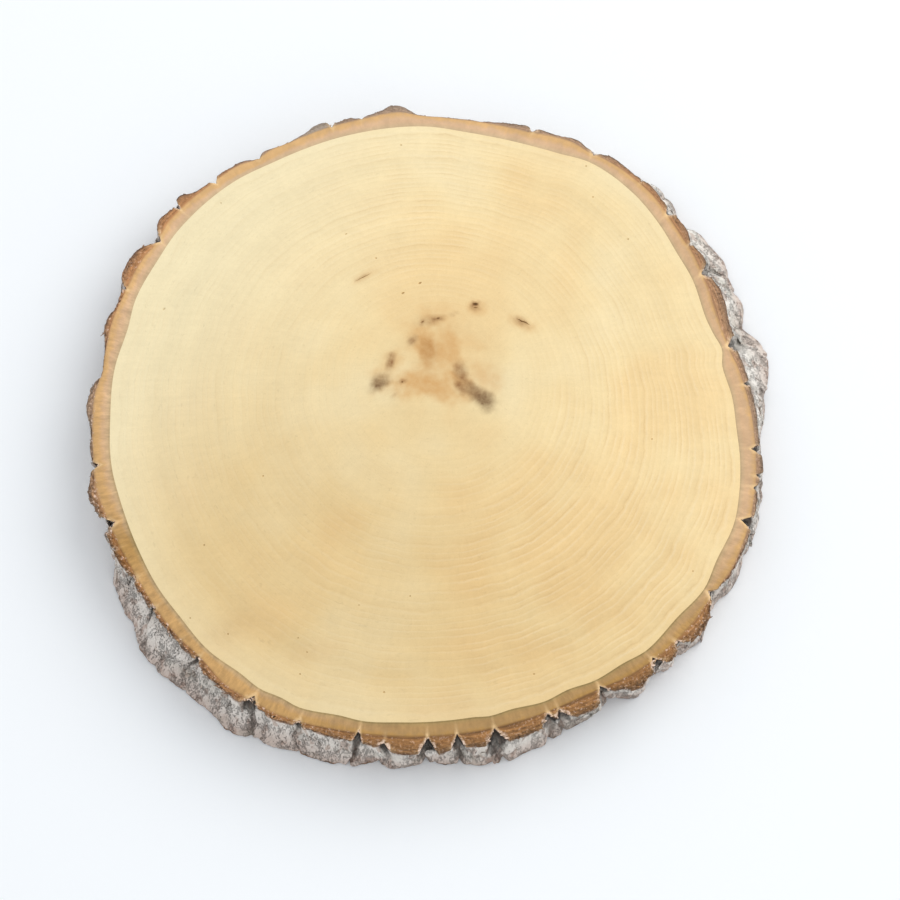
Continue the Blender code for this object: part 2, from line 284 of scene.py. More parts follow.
STAINS: dict[Tint, tuple[Stain, ...]] = {tint: tuple(Stain(*row) for row in rows) for tint, rows in {
    Tint.AMBER: (
        (5.0, 32.0, 25.0, 18.0, 80, 0.30), (1.6, 34.5, 15.0, 6.5, 92, 0.85),
        (-1.5, 41.5, 7.0, 4.5, 30, 0.50), (11.0, 34.0, 14.0, 5.5, 100, 0.60),
        (6.5, 32.0, 15.0, 8.0, 86, 0.62), (3.0, 18.5, 26.0, 8.5, -4, 0.72),
        (14.5, 19.5, 9.0, 6.0, -20, 0.75), (5.0, 45.0, 8.0, 3.6, 15, 0.50),
        (24.0, 22.0, 11.0, 8.0, -50, 0.42), (-12.5, 27.0, 9.0, 5.5, 75, 0.45),
        (20.9, 50.6, 5.0, 4.2, 0, 0.42), (40.5, 44.2, 6.5, 3.0, -31, 0.45),
        (-24.4, 64.3, 6.5, 1.9, 30, 0.26), (-42.0, -92.0, 12.0, 6.0, 20, 0.12),
    ),
    Tint.BROWN: (
        (1.8, 33.0, 9.0, 4.2, 90, 0.26), (2.0, 45.0, 6.5, 2.6, 10, 0.40), (14.8, 17.6, 4.8, 3.6, -30, 0.85),
        (15.4, 22.0, 6.2, 3.0, -72, 0.85), (5.2, 46.0, 3.8, 1.2, 10, 0.75),
        (-0.9, 44.4, 2.4, 1.2, 35, 0.75), (-4.8, 37.1, 3.2, 1.8, 45, 0.62),
        (-13.6, 27.4, 5.4, 2.1, 85, 0.85), (-8.8, 19.7, 2.0, 1.3, 0, 0.60),
        (12.1, 48.2, 2.6, 0.8, 10, 0.35), (-12.1, 13.9, 1.8, 1.1, 40, 0.25),
        (20.7, 52.4, 2.1, 1.2, 0, 1.00), (20.8, 50.6, 2.6, 1.2, 0, 0.45), (39.8, 44.9, 4.0, 1.7, -31, 0.70),
        (-25.0, 64.4, 4.8, 0.9, 30, 0.36), (21.5, 15.0, 6.5, 3.4, -45, 0.55),
    ),
    Tint.SMOKE: (
        (24.4, 11.8, 6.6, 4.8, -45, 0.76), (20.2, 15.9, 5.8, 3.2, -45, 0.55),
        (-18.2, 19.0, 5.8, 3.5, 28, 0.74), (-12.4, 81.7, 4.5, 3.0, 0, 0.05),
        (-76.0, -81.0, 12.0, 9.0, 30, 0.08), (-50.9, -90.7, 12.0, 8.0, -20, 0.06),
        (-31.0, 84.0, 6.0, 2.0, -20, 0.06),
    ),
}.items()}


class Face(Enum):
    """The two faces of the slice, by how each was made."""

    SANDED = "sanded"
    SAWN = "sawn"

    @property
    def drop(self) -> float:
        """The drop at which this face lies."""
        return 0.0 if self is Face.SANDED else 1.0

    @property
    def inwards(self) -> float:
        """Which way along Z leads from this face into the slice."""
        return -1.0 if self is Face.SANDED else 1.0


def linear(colour: str) -> tuple[float, float, float, float]:
    """Turns an sRGB hex value into the linear colour that a socket takes.

    Args:
        colour: Six hex digits after a hash sign.

    Returns:
        Red, green, blue and an alpha of 1.
    """
    channels = (int(colour[place:place + 2], 16) / 255.0 for place in (1, 3, 5))
    red, green, blue = (c / 12.92 if c <= 0.04045 else ((c + 0.055) / 1.055) ** 2.4 for c in channels)
    return red, green, blue, 1.0


def socket(sockets: Any, key: str | int = 0) -> bpy.types.NodeSocket:
    """Finds a socket among those that a node has in use.

    Args:
        sockets: The node's inputs or outputs.
        key: The socket's place among them, or its name.

    Returns:
        The socket.
    """
    in_use = [found for found in sockets if found.enabled]
    return in_use[key] if isinstance(key, int) else next(found for found in in_use if found.name == key)


def feed(tree: bpy.types.NodeTree, target: bpy.types.NodeSocket, value: Any) -> None:
    """Sets or links a socket.

    Args:
        tree: The tree that the socket belongs to.
        target: The socket.
        value: A value, a hex colour, a node whose first output is used, or a (node, output) pair.
    """
    paired = isinstance(value, tuple) and isinstance(value[0], bpy.types.Node)
    source, output = value if paired else (value, 0)
    if isinstance(source, bpy.types.Node):
        tree.links.new(socket(source.outputs, output), target)
    elif isinstance(value, str) and value.startswith("#"):
        target.default_value = linear(value)
    else:
        target.default_value = value


def add_node(
    tree: bpy.types.NodeTree, kind: str, *inputs: Any, stops: Sequence[tuple[float, str]] = (), **named: Any
) -> bpy.types.Node:
    """Adds a node with its settings and links. A node that mixes, mixes colours.

    Args:
        tree: The tree that the node joins.
        kind: The node's type without its prefix and, after a space, its option, such as its operation.
        *inputs: What feeds its inputs, in order.
        stops: A colour ramp's stops, as (place, hex colour).
        **named: What feeds its inputs by name, with a capital letter and with underscores for spaces,
            and in lower case the node's properties.

    Returns:
        The new node.
    """
    name, _, option = kind.partition(" ")
    known = (prefix + name for prefix in NODE_PREFIXES if hasattr(bpy.types, prefix + name))
    node = tree.nodes.new(next(known))
    properties = {key: value for key, value in named.items() if key.islower()}
    if name == "Mix":
        properties["data_type"] = "RGBA"
    if option:
        properties[OPTION_PROPERTIES.get(name, "operation")] = option
    for key, value in properties.items():
        setattr(node, key, value)
    by_name = {key.replace("_", " "): value for key, value in named.items() if not key.islower()}
    for key, value in {**dict(enumerate(inputs)), **by_name}.items():
        feed(tree, socket(node.inputs, key), value)
    for place, _ in stops[2:]:
        node.color_ramp.elements.new(place)
    for number, (place, colour) in enumerate(stops):
        node.color_ramp.elements[number].position = place
        node.color_ramp.elements[number].color = linear(colour)
    return node


def new_material(name: str) -> tuple[bpy.types.Material, partial, Source, Source]:
    """Starts a material.

    Args:
        name: The material's name.

    Returns:
        The material, add_node for its tree, and the place on the object in metres and in millimetres.
    """
    material = bpy.data.materials.new(name)
    material.use_nodes = True
    add = partial(add_node, material.node_tree)
    place = (add("TexCoord"), "Object")
    return material, add, place, add("VectorMath SCALE", place, 1 / MM)


def dress(material: bpy.types.Material, **inputs: Any) -> bpy.types.Material:
    """Sets the material's shader.

    Args:
        material: The material.
        **inputs: What feeds the shader's inputs, named as add_node takes them.

    Returns:
        The same material.
    """
    shader = material.node_tree.nodes["Principled BSDF"]
    for name, value in inputs.items():
        feed(material.node_tree, shader.inputs[name.replace("_", " ")], value)
    return material


def through(points: Curve, degrees: np.ndarray) -> np.ndarray:
    """Reads a smooth closed curve.

    Args:
        points: (degrees, height) points that the curve passes through.
        degrees: The angles to read it at.

    Returns:
        The curve's height at each angle.
    """
    angles, heights = np.array(points, float).T
    wrapped = np.mod(degrees, FULL_TURN)
    near = np.searchsorted(angles, wrapped, side="right")[..., None] + np.arange(-2, 2)
    places = angles[near % len(points)] + FULL_TURN * (near // len(points))
    values = heights[near % len(points)]
    span = places[..., 2] - places[..., 1]
    rise_in = (values[..., 2] - values[..., 0]) / (places[..., 2] - places[..., 0]) * span
    rise_out = (values[..., 3] - values[..., 1]) / (places[..., 3] - places[..., 1]) * span
    t = (wrapped - places[..., 1]) / span
    return (
        values[..., 1] * (1 + 2 * t) * (1 - t) ** 2
        + rise_in * t * (1 - t) ** 2
        + values[..., 2] * t * t * (3 - 2 * t)
        - rise_out * t * t * (1 - t)
    )


def turns(count: int) -> np.ndarray:
    """The angles that part a full turn evenly."""
    return np.arange(count) * FULL_TURN / count


def spread(
    centre: Sequence[float], radius: np.ndarray, degrees: np.ndarray, height: np.ndarray | float
) -> np.ndarray:
    """Turns distances from an upright line into points of the frame.

    Args:
        centre: The line's x and y.
        radius: Distances from it.
        degrees: The angle of each.
        height: The height of each.

    Returns:
        The points, with xyz last.
    """
    angle = np.radians(degrees)
    x = centre[0] + radius * np.cos(angle)
    y = centre[1] + radius * np.sin(angle)
    return np.stack(np.broadcast_arrays(x, y, height), -1)


def noise_at(points: np.ndarray) -> np.ndarray:
    """Smooth noise, about -1 to 1, at each point, whose xyz is the last axis."""
    flat = points.reshape(-1, 3).tolist()
    return np.array([noise.noise(place) for place in flat]).reshape(points.shape[:-1])


def smoothstep(low: float, high: float, values: np.ndarray | float) -> np.ndarray:
    """Rises smoothly from 0 where a value is low to 1 where it is high."""
    share = np.clip((values - low) / (high - low), 0.0, 1.0)
    return share * share * (3 - 2 * share)


@dataclass(frozen=True)
class Trunk:
    """The trunk's outline at any drop, which both the wood and the bark follow.

    Sizes are in metres, apart from the fissures' drift, which is in degrees.
    """

    thickness: float = 0.026
    centre: tuple[float, float] = (-0.0026, -0.0032)
    pith_from_centre: tuple[float, float] = (0.008, 0.026)
    edge_drop: float = 0.0009
    wood_share_of_flare: float = 0.75
    least_bark: float = 0.0022
    fissure_point: float = 1.1
    fissure_closes: float = 0.6
    fissure_drift: float = 3.2
    drift_apart: float = 2.7
    drift_ripples: float = 1.6
    plate_relief: float = 0.0011
    plate_width: float = 0.016
    plate_height: float = 0.03
    furrow_depth: float = 0.0014
    furrow_reach: float = 0.22
    round_years: int = 3
    pith_outline_points: int = 1440
    growth_steps: int = 6

    @property
    def pith(self) -> np.ndarray:
        """Where the rings start, in the frame's x and y."""
        return np.add(self.centre, self.pith_from_centre)

    def height(self, drop: float) -> float:
        """The height at this drop."""
        return self.thickness * (1.0 - drop)

    def wood_radius(self, degrees: np.ndarray, drop: np.ndarray | float) -> np.ndarray:
        """Distance of the line between wood and bark from the trunk's centre."""
        return (through(CAMBIUM, degrees) + self.wood_share_of_flare * through(FLARE, degrees) * drop) * MM

    def bast_radius(self, degrees: np.ndarray, drop: np.ndarray | float) -> np.ndarray:
        """Distance of the line between inner and outer bark from the trunk's centre."""
        return (through(BAST_EDGE, degrees) + self.wood_share_of_flare * through(FLARE, degrees) * drop) * MM

    def beside_fissure(self, number: int, degrees: np.ndarray, drop: np.ndarray) -> np.ndarray:
        """How far each column lies from a fissure, which wanders sideways on its way down.

        Args:
            number: The fissure's place in its list.
            degrees: The angles, one for each column.
            drop: The drops, one for each row.

        Returns:
            Distances along the bark in millimetres, as (row, column).
        """
        lane = number * self.drift_apart
        start = noise.noise((lane, 0.0, 0.0))
        wander = np.array([noise.noise((lane, share * self.drift_ripples, 0.0)) - start for share in drop])
        aside = degrees[None, :] - FISSURES[number][0] - self.fissure_drift * wander[:, None]
        aside = (aside + FULL_TURN / 2) % FULL_TURN - FULL_TURN / 2
        return np.abs(np.radians(aside) * through(BARK_EDGE, degrees))

    def fissure_depth(self, degrees: np.ndarray, drop: np.ndarray) -> np.ndarray:
        """How deep the fissures cut into the bark. Each closes on its way down.

        Args:
            degrees: The angles, one for each column.
            drop: The drops, one for each row.

        Returns:
            The deepest fissure's depth, as (row, column).
        """
        opening = (1 - self.fissure_closes * drop)[:, None]
        deepest = np.zeros((len(drop), len(degrees)))
        for number, (_, depth, half_width) in enumerate(FISSURES):
            share = self.beside_fissure(number, degrees, drop) / (half_width * opening)
            deepest = np.maximum(deepest, depth * np.clip(1 - share, 0, None) ** self.fissure_point)
        return deepest * MM * opening

    def bulge(self, degrees: np.ndarray, drop: np.ndarray) -> np.ndarray:
        """How far the bark's plates stand out, with a net of furrows between them.

        Args:
            degrees: The angles, one for each column.
            drop: The drops, one for each row.

        Returns:
            Distances outwards, as (row, column).
        """
        angle = np.radians(degrees)
        radius = through(BARK_EDGE, degrees) * MM
        places = np.empty((len(drop), len(degrees), 3))
        places[..., 0] = radius * np.cos(angle) / self.plate_width
        places[..., 1] = radius * np.sin(angle) / self.plate_width
        places[..., 2] = (self.thickness * drop / self.plate_height)[:, None]
        furrow = np.clip(1 - np.abs(noise_at(places)) / self.furrow_reach, 0, None)
        plates = 2.0 * noise_at(places + (9.0, 4.0, 1.0))
        shown = np.minimum(1.0, 3.0 * drop)[:, None]
        return shown * (self.plate_relief * plates - self.furrow_depth * furrow)

    def bark_radius(self, degrees: np.ndarray, drop: np.ndarray) -> np.ndarray:
        """Distance of the bark's outside from the trunk's centre.

        Args:
            degrees: The angles, one for each column.
            drop: The drops, one for each row.

        Returns:
            Distances, as (row, column).
        """
        crest = (through(BARK_EDGE, degrees) + through(FLARE, degrees) * drop[:, None]) * MM
        outside = crest + self.bulge(degrees, drop) - self.fissure_depth(degrees, drop)
        return np.maximum(outside, self.wood_radius(degrees, drop[:, None]) + self.least_bark)

    def outline_from_pith(self, headings: np.ndarray, drop: float) -> tuple[np.ndarray, np.ndarray]:
        """The wood's outline as the growing tree had it.

        Args:
            headings: Angles about the pith.
            drop: The drop to cut at.

        Returns:
            The outline's distance from the pith at each heading, and that of the rounder shape
            that the first years had.
        """
        degrees = turns(self.pith_outline_points)
        outline = spread(self.centre, self.wood_radius(degrees, drop), degrees, 0.0)[:, :2] - self.pith
        seen = np.degrees(np.arctan2(outline[:, 1], outline[:, 0])) % FULL_TURN
        order = np.argsort(seen)
        distance = np.hypot(*outline.T)[order]
        even = np.interp(degrees, seen[order], distance, period=FULL_TURN)
        waves = np.fft.rfft(even)
        waves[self.round_years:] = 0.0
        rounded = np.fft.irfft(waves, len(even))
        return (
            np.interp(headings, seen[order], distance, period=FULL_TURN),
            np.interp(headings, degrees, rounded, period=FULL_TURN),
        )

    def ring_radius(self, growth: np.ndarray | float, headings: np.ndarray, drop: float) -> np.ndarray:
        """Distance from the pith of the wood of this growth, which is 0 at the pith and 1 at the bark."""
        outline, rounded = self.outline_from_pith(headings, drop)
        return growth * (rounded + growth**2 * (outline - rounded))

    def growth_at(self, points: np.ndarray, drop: float) -> np.ndarray:
        """How far out in the tree's growth each point of a face lies.

        Args:
            points: Points of the frame.
            drop: The drop of the face that they lie on.

        Returns:
            0 at the pith and 1 at the bark, for each point.
        """
        offset = points[:, :2] - self.pith
        headings = np.degrees(np.arctan2(offset[:, 1], offset[:, 0])) % FULL_TURN
        distance = np.hypot(*offset.T)
        outline, rounded = self.outline_from_pith(headings, drop)
        growth = distance / outline
        for _ in range(self.growth_steps):
            miss = growth * (rounded + growth**2 * (outline - rounded)) - distance
            growth = growth - miss / (rounded + 3 * growth**2 * (outline - rounded))
        return np.clip(growth, 0.0, 1.0)


def ringed_mesh(name: str, rings: np.ndarray, poles: Sequence[Sequence[float]] = ()) -> bpy.types.Mesh:
    """Joins rings of points into one closed mesh that faces outwards.

    Args:
        name: The mesh's name.
        rings: Points as (ring, place along it, xyz), anticlockwise, from the top's middle out and down.
        poles: The points that close the first ring and the last. Without them, the last ring meets
            the first.

    Returns:
        The mesh, with its vertices in the rings' order and the poles after them.
    """
    count, columns, _ = rings.shape
    index = np.arange(count * columns).reshape(count, columns)
    if not poles:
        index = np.vstack([index, index[:1]])
    beside = np.roll(index, -1, axis=1)
    faces = np.stack([index[:-1], index[1:], beside[1:], beside[:-1]], -1).reshape(-1, 4).tolist()
    if poles:
        first, last = count * columns, count * columns + 1
        faces += [[first, here, after] for here, after in zip(index[0].tolist(), beside[0].tolist())]
        faces += [[last, after, here] for here, after in zip(index[-1].tolist(), beside[-1].tolist())]
    mesh = bpy.data.meshes.new(name)
    mesh.from_pydata(rings.reshape(-1, 3).tolist() + [list(pole) for pole in poles], [], faces)
    return mesh


def points_of(mesh: bpy.types.Mesh) -> np.ndarray:
    """Reads a mesh's points.

    Args:
        mesh: The mesh.

    Returns:
        One row for each vertex.
    """
    flat = np.empty(len(mesh.vertices) * 3, np.float32)
    mesh.vertices.foreach_get("co", flat)
    return flat.reshape(-1, 3).astype(float)


def store(mesh: bpy.types.Mesh, name: str, values: np.ndarray) -> None:
    """Keeps one number, or one vector, for each vertex under this name.

    Args:
        mesh: The mesh that takes the attribute.
        name: The attribute's name.
        values: One value for each vertex, in order.
    """
    vectors = values.ndim == 2
    layer = mesh.attributes.new(name, "FLOAT_VECTOR" if vectors else "FLOAT", "POINT")
    layer.data.foreach_set("vector" if vectors else "value", values.ravel().astype(np.float32))


def place_object(mesh: bpy.types.Mesh, name: str) -> bpy.types.Object:
    """Puts a mesh in the scene, with its object at the origin.

    Args:
        mesh: The mesh.
        name: The name that the object and the mesh get.

    Returns:
        The object.
    """
    mesh.name = name
    piece = bpy.data.objects.new(name, mesh)
    bpy.context.scene.collection.objects.link(piece)
    return piece


def apply_modifiers(piece: bpy.types.Object) -> None:
    """Swaps an object's mesh for what its modifiers make of it, and removes them.

    Args:
        piece: The object.
    """
    graph = bpy.context.evaluated_depsgraph_get()
    made = bpy.data.meshes.new_from_object(piece.evaluated_get(graph))
    piece.modifiers.clear()
    old, piece.data = piece.data, made
    bpy.data.meshes.remove(old)
    made.name = piece.name


def new_tree(name: str, sizes: Mapping[str, str]) -> tuple[bpy.types.NodeTree, partial, bpy.types.Node]:
    """Starts a Geometry Nodes tree that turns a geometry into another, with named inputs.

    Args:
        name: The tree's name.
        sizes: Each further input's name and its kind of socket, without the prefix.

    Returns:
        The tree, add_node for it, and the node that its inputs come from.
    """
    tree = bpy.data.node_groups.new(name, "GeometryNodeTree")
    tree.interface.new_socket("Geometry", in_out="INPUT", socket_type="NodeSocketGeometry")
    for label, kind in sizes.items():
        tree.interface.new_socket(label, in_out="INPUT", socket_type="NodeSocket" + kind)
    tree.interface.new_socket("Geometry", in_out="OUTPUT", socket_type="NodeSocketGeometry")
    add = partial(add_node, tree)
    return tree, add, add("GroupInput")


def run_tree(piece: bpy.types.Object, tree: bpy.types.NodeTree, values: Mapping[str, Any]) -> None:
    """Runs a Geometry Nodes tree on a piece, and keeps the result as its plain mesh.

    Args:
        piece: The object whose mesh the tree starts from.
        tree: The tree.
        values: The value of each named input.
    """
    modifier = piece.modifiers.new(tree.name, "NODES")
    modifier.node_group = tree
    for item in tree.interface.items_tree:
        if item.in_out == "INPUT" and item.name in values:
            modifier[item.identifier] = values[item.name]
    apply_modifiers(piece)


def cut_out(piece: bpy.types.Object, tool: bpy.types.Object) -> None:
    """Cuts a tool's shape out of a piece, and removes the tool with its mesh.

    Args:
        piece: The piece that is cut.
        tool: The closed shape that comes out of it.
    """
    modifier = piece.modifiers.new("cut", "BOOLEAN")
    modifier.operation = "DIFFERENCE"
    modifier.solver = "MANIFOLD"
    modifier.object = tool
    apply_modifiers(piece)
    mesh = tool.data
    bpy.data.objects.remove(tool)
    bpy.data.meshes.remove(mesh)


def keep_within(piece: bpy.types.Object, corners: tuple[Vector, Vector]) -> None:
    """Moves any point of a piece that lies outside a box onto it.

    Args:
        piece: The piece.
        corners: The box's lowest corner and its highest.
    """
    low, high = (np.array(corner) for corner in corners)
    points = np.clip(points_of(piece.data), low, high)
    piece.data.vertices.foreach_set("co", points.ravel().astype(np.float32))
    piece.data.update()


def hand_over(piece: bpy.types.Object, slot: str) -> None:
    """Attaches a piece to the body that it rides on, hides the frame's part that it stands for, and logs its
    triangles and the record's slot.

    Args:
        piece: The finished piece.
        slot: The record's material slot.
    """
    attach(piece, BODY)
    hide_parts(NODE)
    triangles = sum(len(face.vertices) - 2 for face in piece.data.polygons)
    LOG.info("%s: %d triangles, finish from the slot %s", piece.name, triangles, slot)


@dataclass(frozen=True)
class EndGrain:
    """Bare linden end grain: cream, even and very fine, with faint rings. Sanding leaves it silky
    and nearly matt; a saw leaves it rougher and duller, with the blade's lines across it."""

    name: str
    cream_wood: str = "#F4E4B9"
    pale_wood: str = "#F3DDAC"
    early_wood: str = "#F2D8A2"
    warm_wood: str = "#F0D198"
    late_wood: str = "#B98D4E"
    pale_ring: str = "#FBEFD2"
    sapwood: str = "#F5E5BB"
    # Multiplies the side away from the lamp: painted shade
    tan: str = "#F0EAE0"
    amber_stain: str = "#D09852"
    brown_stain: str = "#94683A"
    smoke_stain: str = "#75552F"
    # Painted shade inside the pinholes and checks
    hollow_shade: str = "#6E5432"
    ring_count: float = 46.0
    stroke_contrast: float = 0.05
    tooth: float = 0.00003
    roughness: float = 0.58

    def material(self, trunk: Trunk) -> bpy.types.Material:
        """Builds the material, which reads the attributes growth and rings and one for each tint.

        Args:
            trunk: The trunk that the grain belongs to.

        Returns:
            The material.
        """
        material, add, place, mm = new_material(self.name)
        growth = add("Attribute growth")

        # Broad drifts of tone some 50 mm across, and painted shade that leaves the side away from the lamp,
        # towards the lower left, darker and yellower
        drift = add("TexNoise", mm, 1 / 50, 2.5)
        tones = ((0.36, self.pale_wood), (0.5, self.early_wood), (0.64, self.warm_wood))
        tone = add("ValToRGB", drift, stops=tones)
        across = add("VectorMath DOT_PRODUCT", mm, (-0.5, -0.87, 0.0))
        wandering = add("Math MULTIPLY_ADD", drift, 60.0, across)
        shade_falloff = add("MapRange", wandering, 10.0, 85.0)
        toned = add("Mix MULTIPLY", shade_falloff, tone, self.tan)
        aside = add("VectorMath DOT_PRODUCT", mm, (-0.83, 0.55, 0.0))
        creaming = add("Math MULTIPLY_ADD", drift, 50.0, aside)
        creamy = add("MapRange", creaming, 70.0, 135.0, 0.0, 0.85)
        toned = add("Mix", creamy, toned, self.cream_wood)

        # Rings some 2 to 4 mm apart, uneven in width and a little wavy, with finer lines between them
        waver = add("TexNoise", mm, 1 / 15, 4.0, 0.6)
        years = add("TexNoise 1D", growth, 8.0, 2.0)
        counted = add("Math MULTIPLY", growth, self.ring_count)
        uneven = add("Math MULTIPLY_ADD", years, 2.6, counted)
        phase = add("Math MULTIPLY_ADD", waver, 1.1, uneven)
        year = add("Math FRACT", phase)
        season = (
            (0.0, "#707070"), (0.12, "#000000"), (0.5, "#181818"), (0.82, "#9C9C9C"),
            (0.94, "#FFFFFF"), (1.0, "#707070"),
        )
        late = add("ValToRGB", year, stops=season)
        bands = add("TexNoise 1D", phase, 0.55, 4.0, 0.7)
        patches = add("TexNoise", mm, 1 / 12, 3.0)
        clear = add("MapRange", patches, 0.35, 0.62, 0.25)
        shown = add("Attribute rings")
        contrast = add("Math MULTIPLY", clear, shown)
        strength = add("MapRange", bands, 0.36, 0.62, 0.3, 1.5)
        lines = add("Math MULTIPLY", late, strength)
        lines = add("Math MULTIPLY_ADD", bands, 0.5, lines)
        ringing = add("Math MULTIPLY", lines, contrast)
        ringing = add("Math MULTIPLY", ringing, 0.17)
        ringed = add("Mix", ringing, toned, self.late_wood)
        early = add("MapRange", year, 0.05, 0.16)
        early_ends = add("MapRange", year, 0.2, 0.4, 1.0, 0.0)
        early = add("Math MULTIPLY", early, early_ends)
        early = add("Math MULTIPLY", early, contrast)
        early = add("Math MULTIPLY", early, 0.16)
        ringed = add("Mix", early, ringed, self.pale_ring)

        # The last few years under the bark are paler, most of all where the rings hardly show
        paler = add("Math MULTIPLY_ADD", shown, -0.4, 0.45)
        last_years = add("MapRange", growth, 0.88, 0.985, 0.0, paler)
        sapped = add("Mix", last_years, ringed, self.sapwood)

        # Rays, fine lines that run out from the pith
        from_pith = add("VectorMath SUBTRACT", place, (*trunk.pith, 0.0))
        level = add("VectorMath MULTIPLY", from_pith, (1.0, 1.0, 0.0))
        heading = add("VectorMath NORMALIZE", level)
        outwards = add("CombineXYZ", Z=growth)
        ray_place = add("VectorMath MULTIPLY_ADD", heading, (7.0, 7.0, 7.0), outwards)
        rays = add("TexNoise", ray_place, 9.0, 3.0)
        ring_place = add("VectorMath MULTIPLY_ADD", outwards, (3.4, 3.4, 3.4), heading)
        ring_flecks = add("TexNoise", ring_place, 30.0, 4.0, 0.65)
        fleck_place = add("Math MULTIPLY", ring_flecks, shown)

        # Pores and fibres, drawn at half a millimetre because the real ones are too fine to show,
        # faint flecks, and the strokes of the belt or the blade, which run along X
        grain = add("TexNoise", mm, 1.5, 4.0, 0.65)
        flecks = add("TexNoise", mm, 0.42, 3.0, 0.6)
        lengthwise = add("VectorMath MULTIPLY", mm, (0.03, 0.7, 0.3))
        strokes = add("TexNoise", lengthwise, 1.0, 3.0)
        mottle = add("TexNoise", mm, 1 / 11, 3.0, 0.6)
        off_mottle = add("Math SUBTRACT", mottle, 0.5)
        dashes = add("MapRange", ring_flecks, 0.6, 0.7, 0.0, -0.09)
        zones = add("TexNoise 1D", growth, 9.0, 2.0)
        zone_light = add("MapRange", zones, 0.3, 0.7, 0.02, -0.03)
        light = 0.82 - self.stroke_contrast / 2
        for marks, share in (
            (grain, 0.13), (flecks, 0.1), (off_mottle, 0.09), (dashes, 1.0), (zone_light, 1.0),
            (rays, 0.06), (fleck_place, 0.14), (strokes, self.stroke_contrast),
        ):
            light = add("Math MULTIPLY_ADD", marks, share, light)
        mottled = add("Mix MULTIPLY", 1.0, sapped, light)

        # Stains, with edges that follow the grain
        ragged = add("TexNoise", mm, 0.3, 4.0, 0.65)
        stained = mottled
        tints = (
            (Tint.AMBER, self.amber_stain, 1.0), (Tint.BROWN, self.brown_stain, 1.8),
            (Tint.SMOKE, self.smoke_stain, 1.8),
        )
        for tint, colour, patchiness in tints:
            given = add(f"Attribute {tint.value}")
            patchy = add("Math MULTIPLY_ADD", ragged, patchiness, 1.0 - patchiness / 2)
            amount = add("Math MULTIPLY", given, patchy, use_clamp=True)
            stained = add("Mix", amount, stained, colour)

        # Inside a pinhole or a check the wood is painted darker the deeper it is: painted shade
        height = (add("SeparateXYZ", place), "Z")
        shallow, deep = trunk.thickness - 0.03 * MM, trunk.thickness - 1.2 * MM
        sunk = add("MapRange", height, shallow, deep)
        inside = add("Math LESS_THAN", growth, 0.99)
        hollow_shade = add("Math MULTIPLY", sunk, inside)
        colour = add("Mix", hollow_shade, stained, self.hollow_shade)

        relief = add("Math MULTIPLY_ADD", late, 0.5, grain)
        bump = add("Bump", Height=relief, Distance=self.tooth)
        return dress(material, Base_Color=colour, Roughness=self.roughness, IOR=PLANT_IOR, Normal=bump)


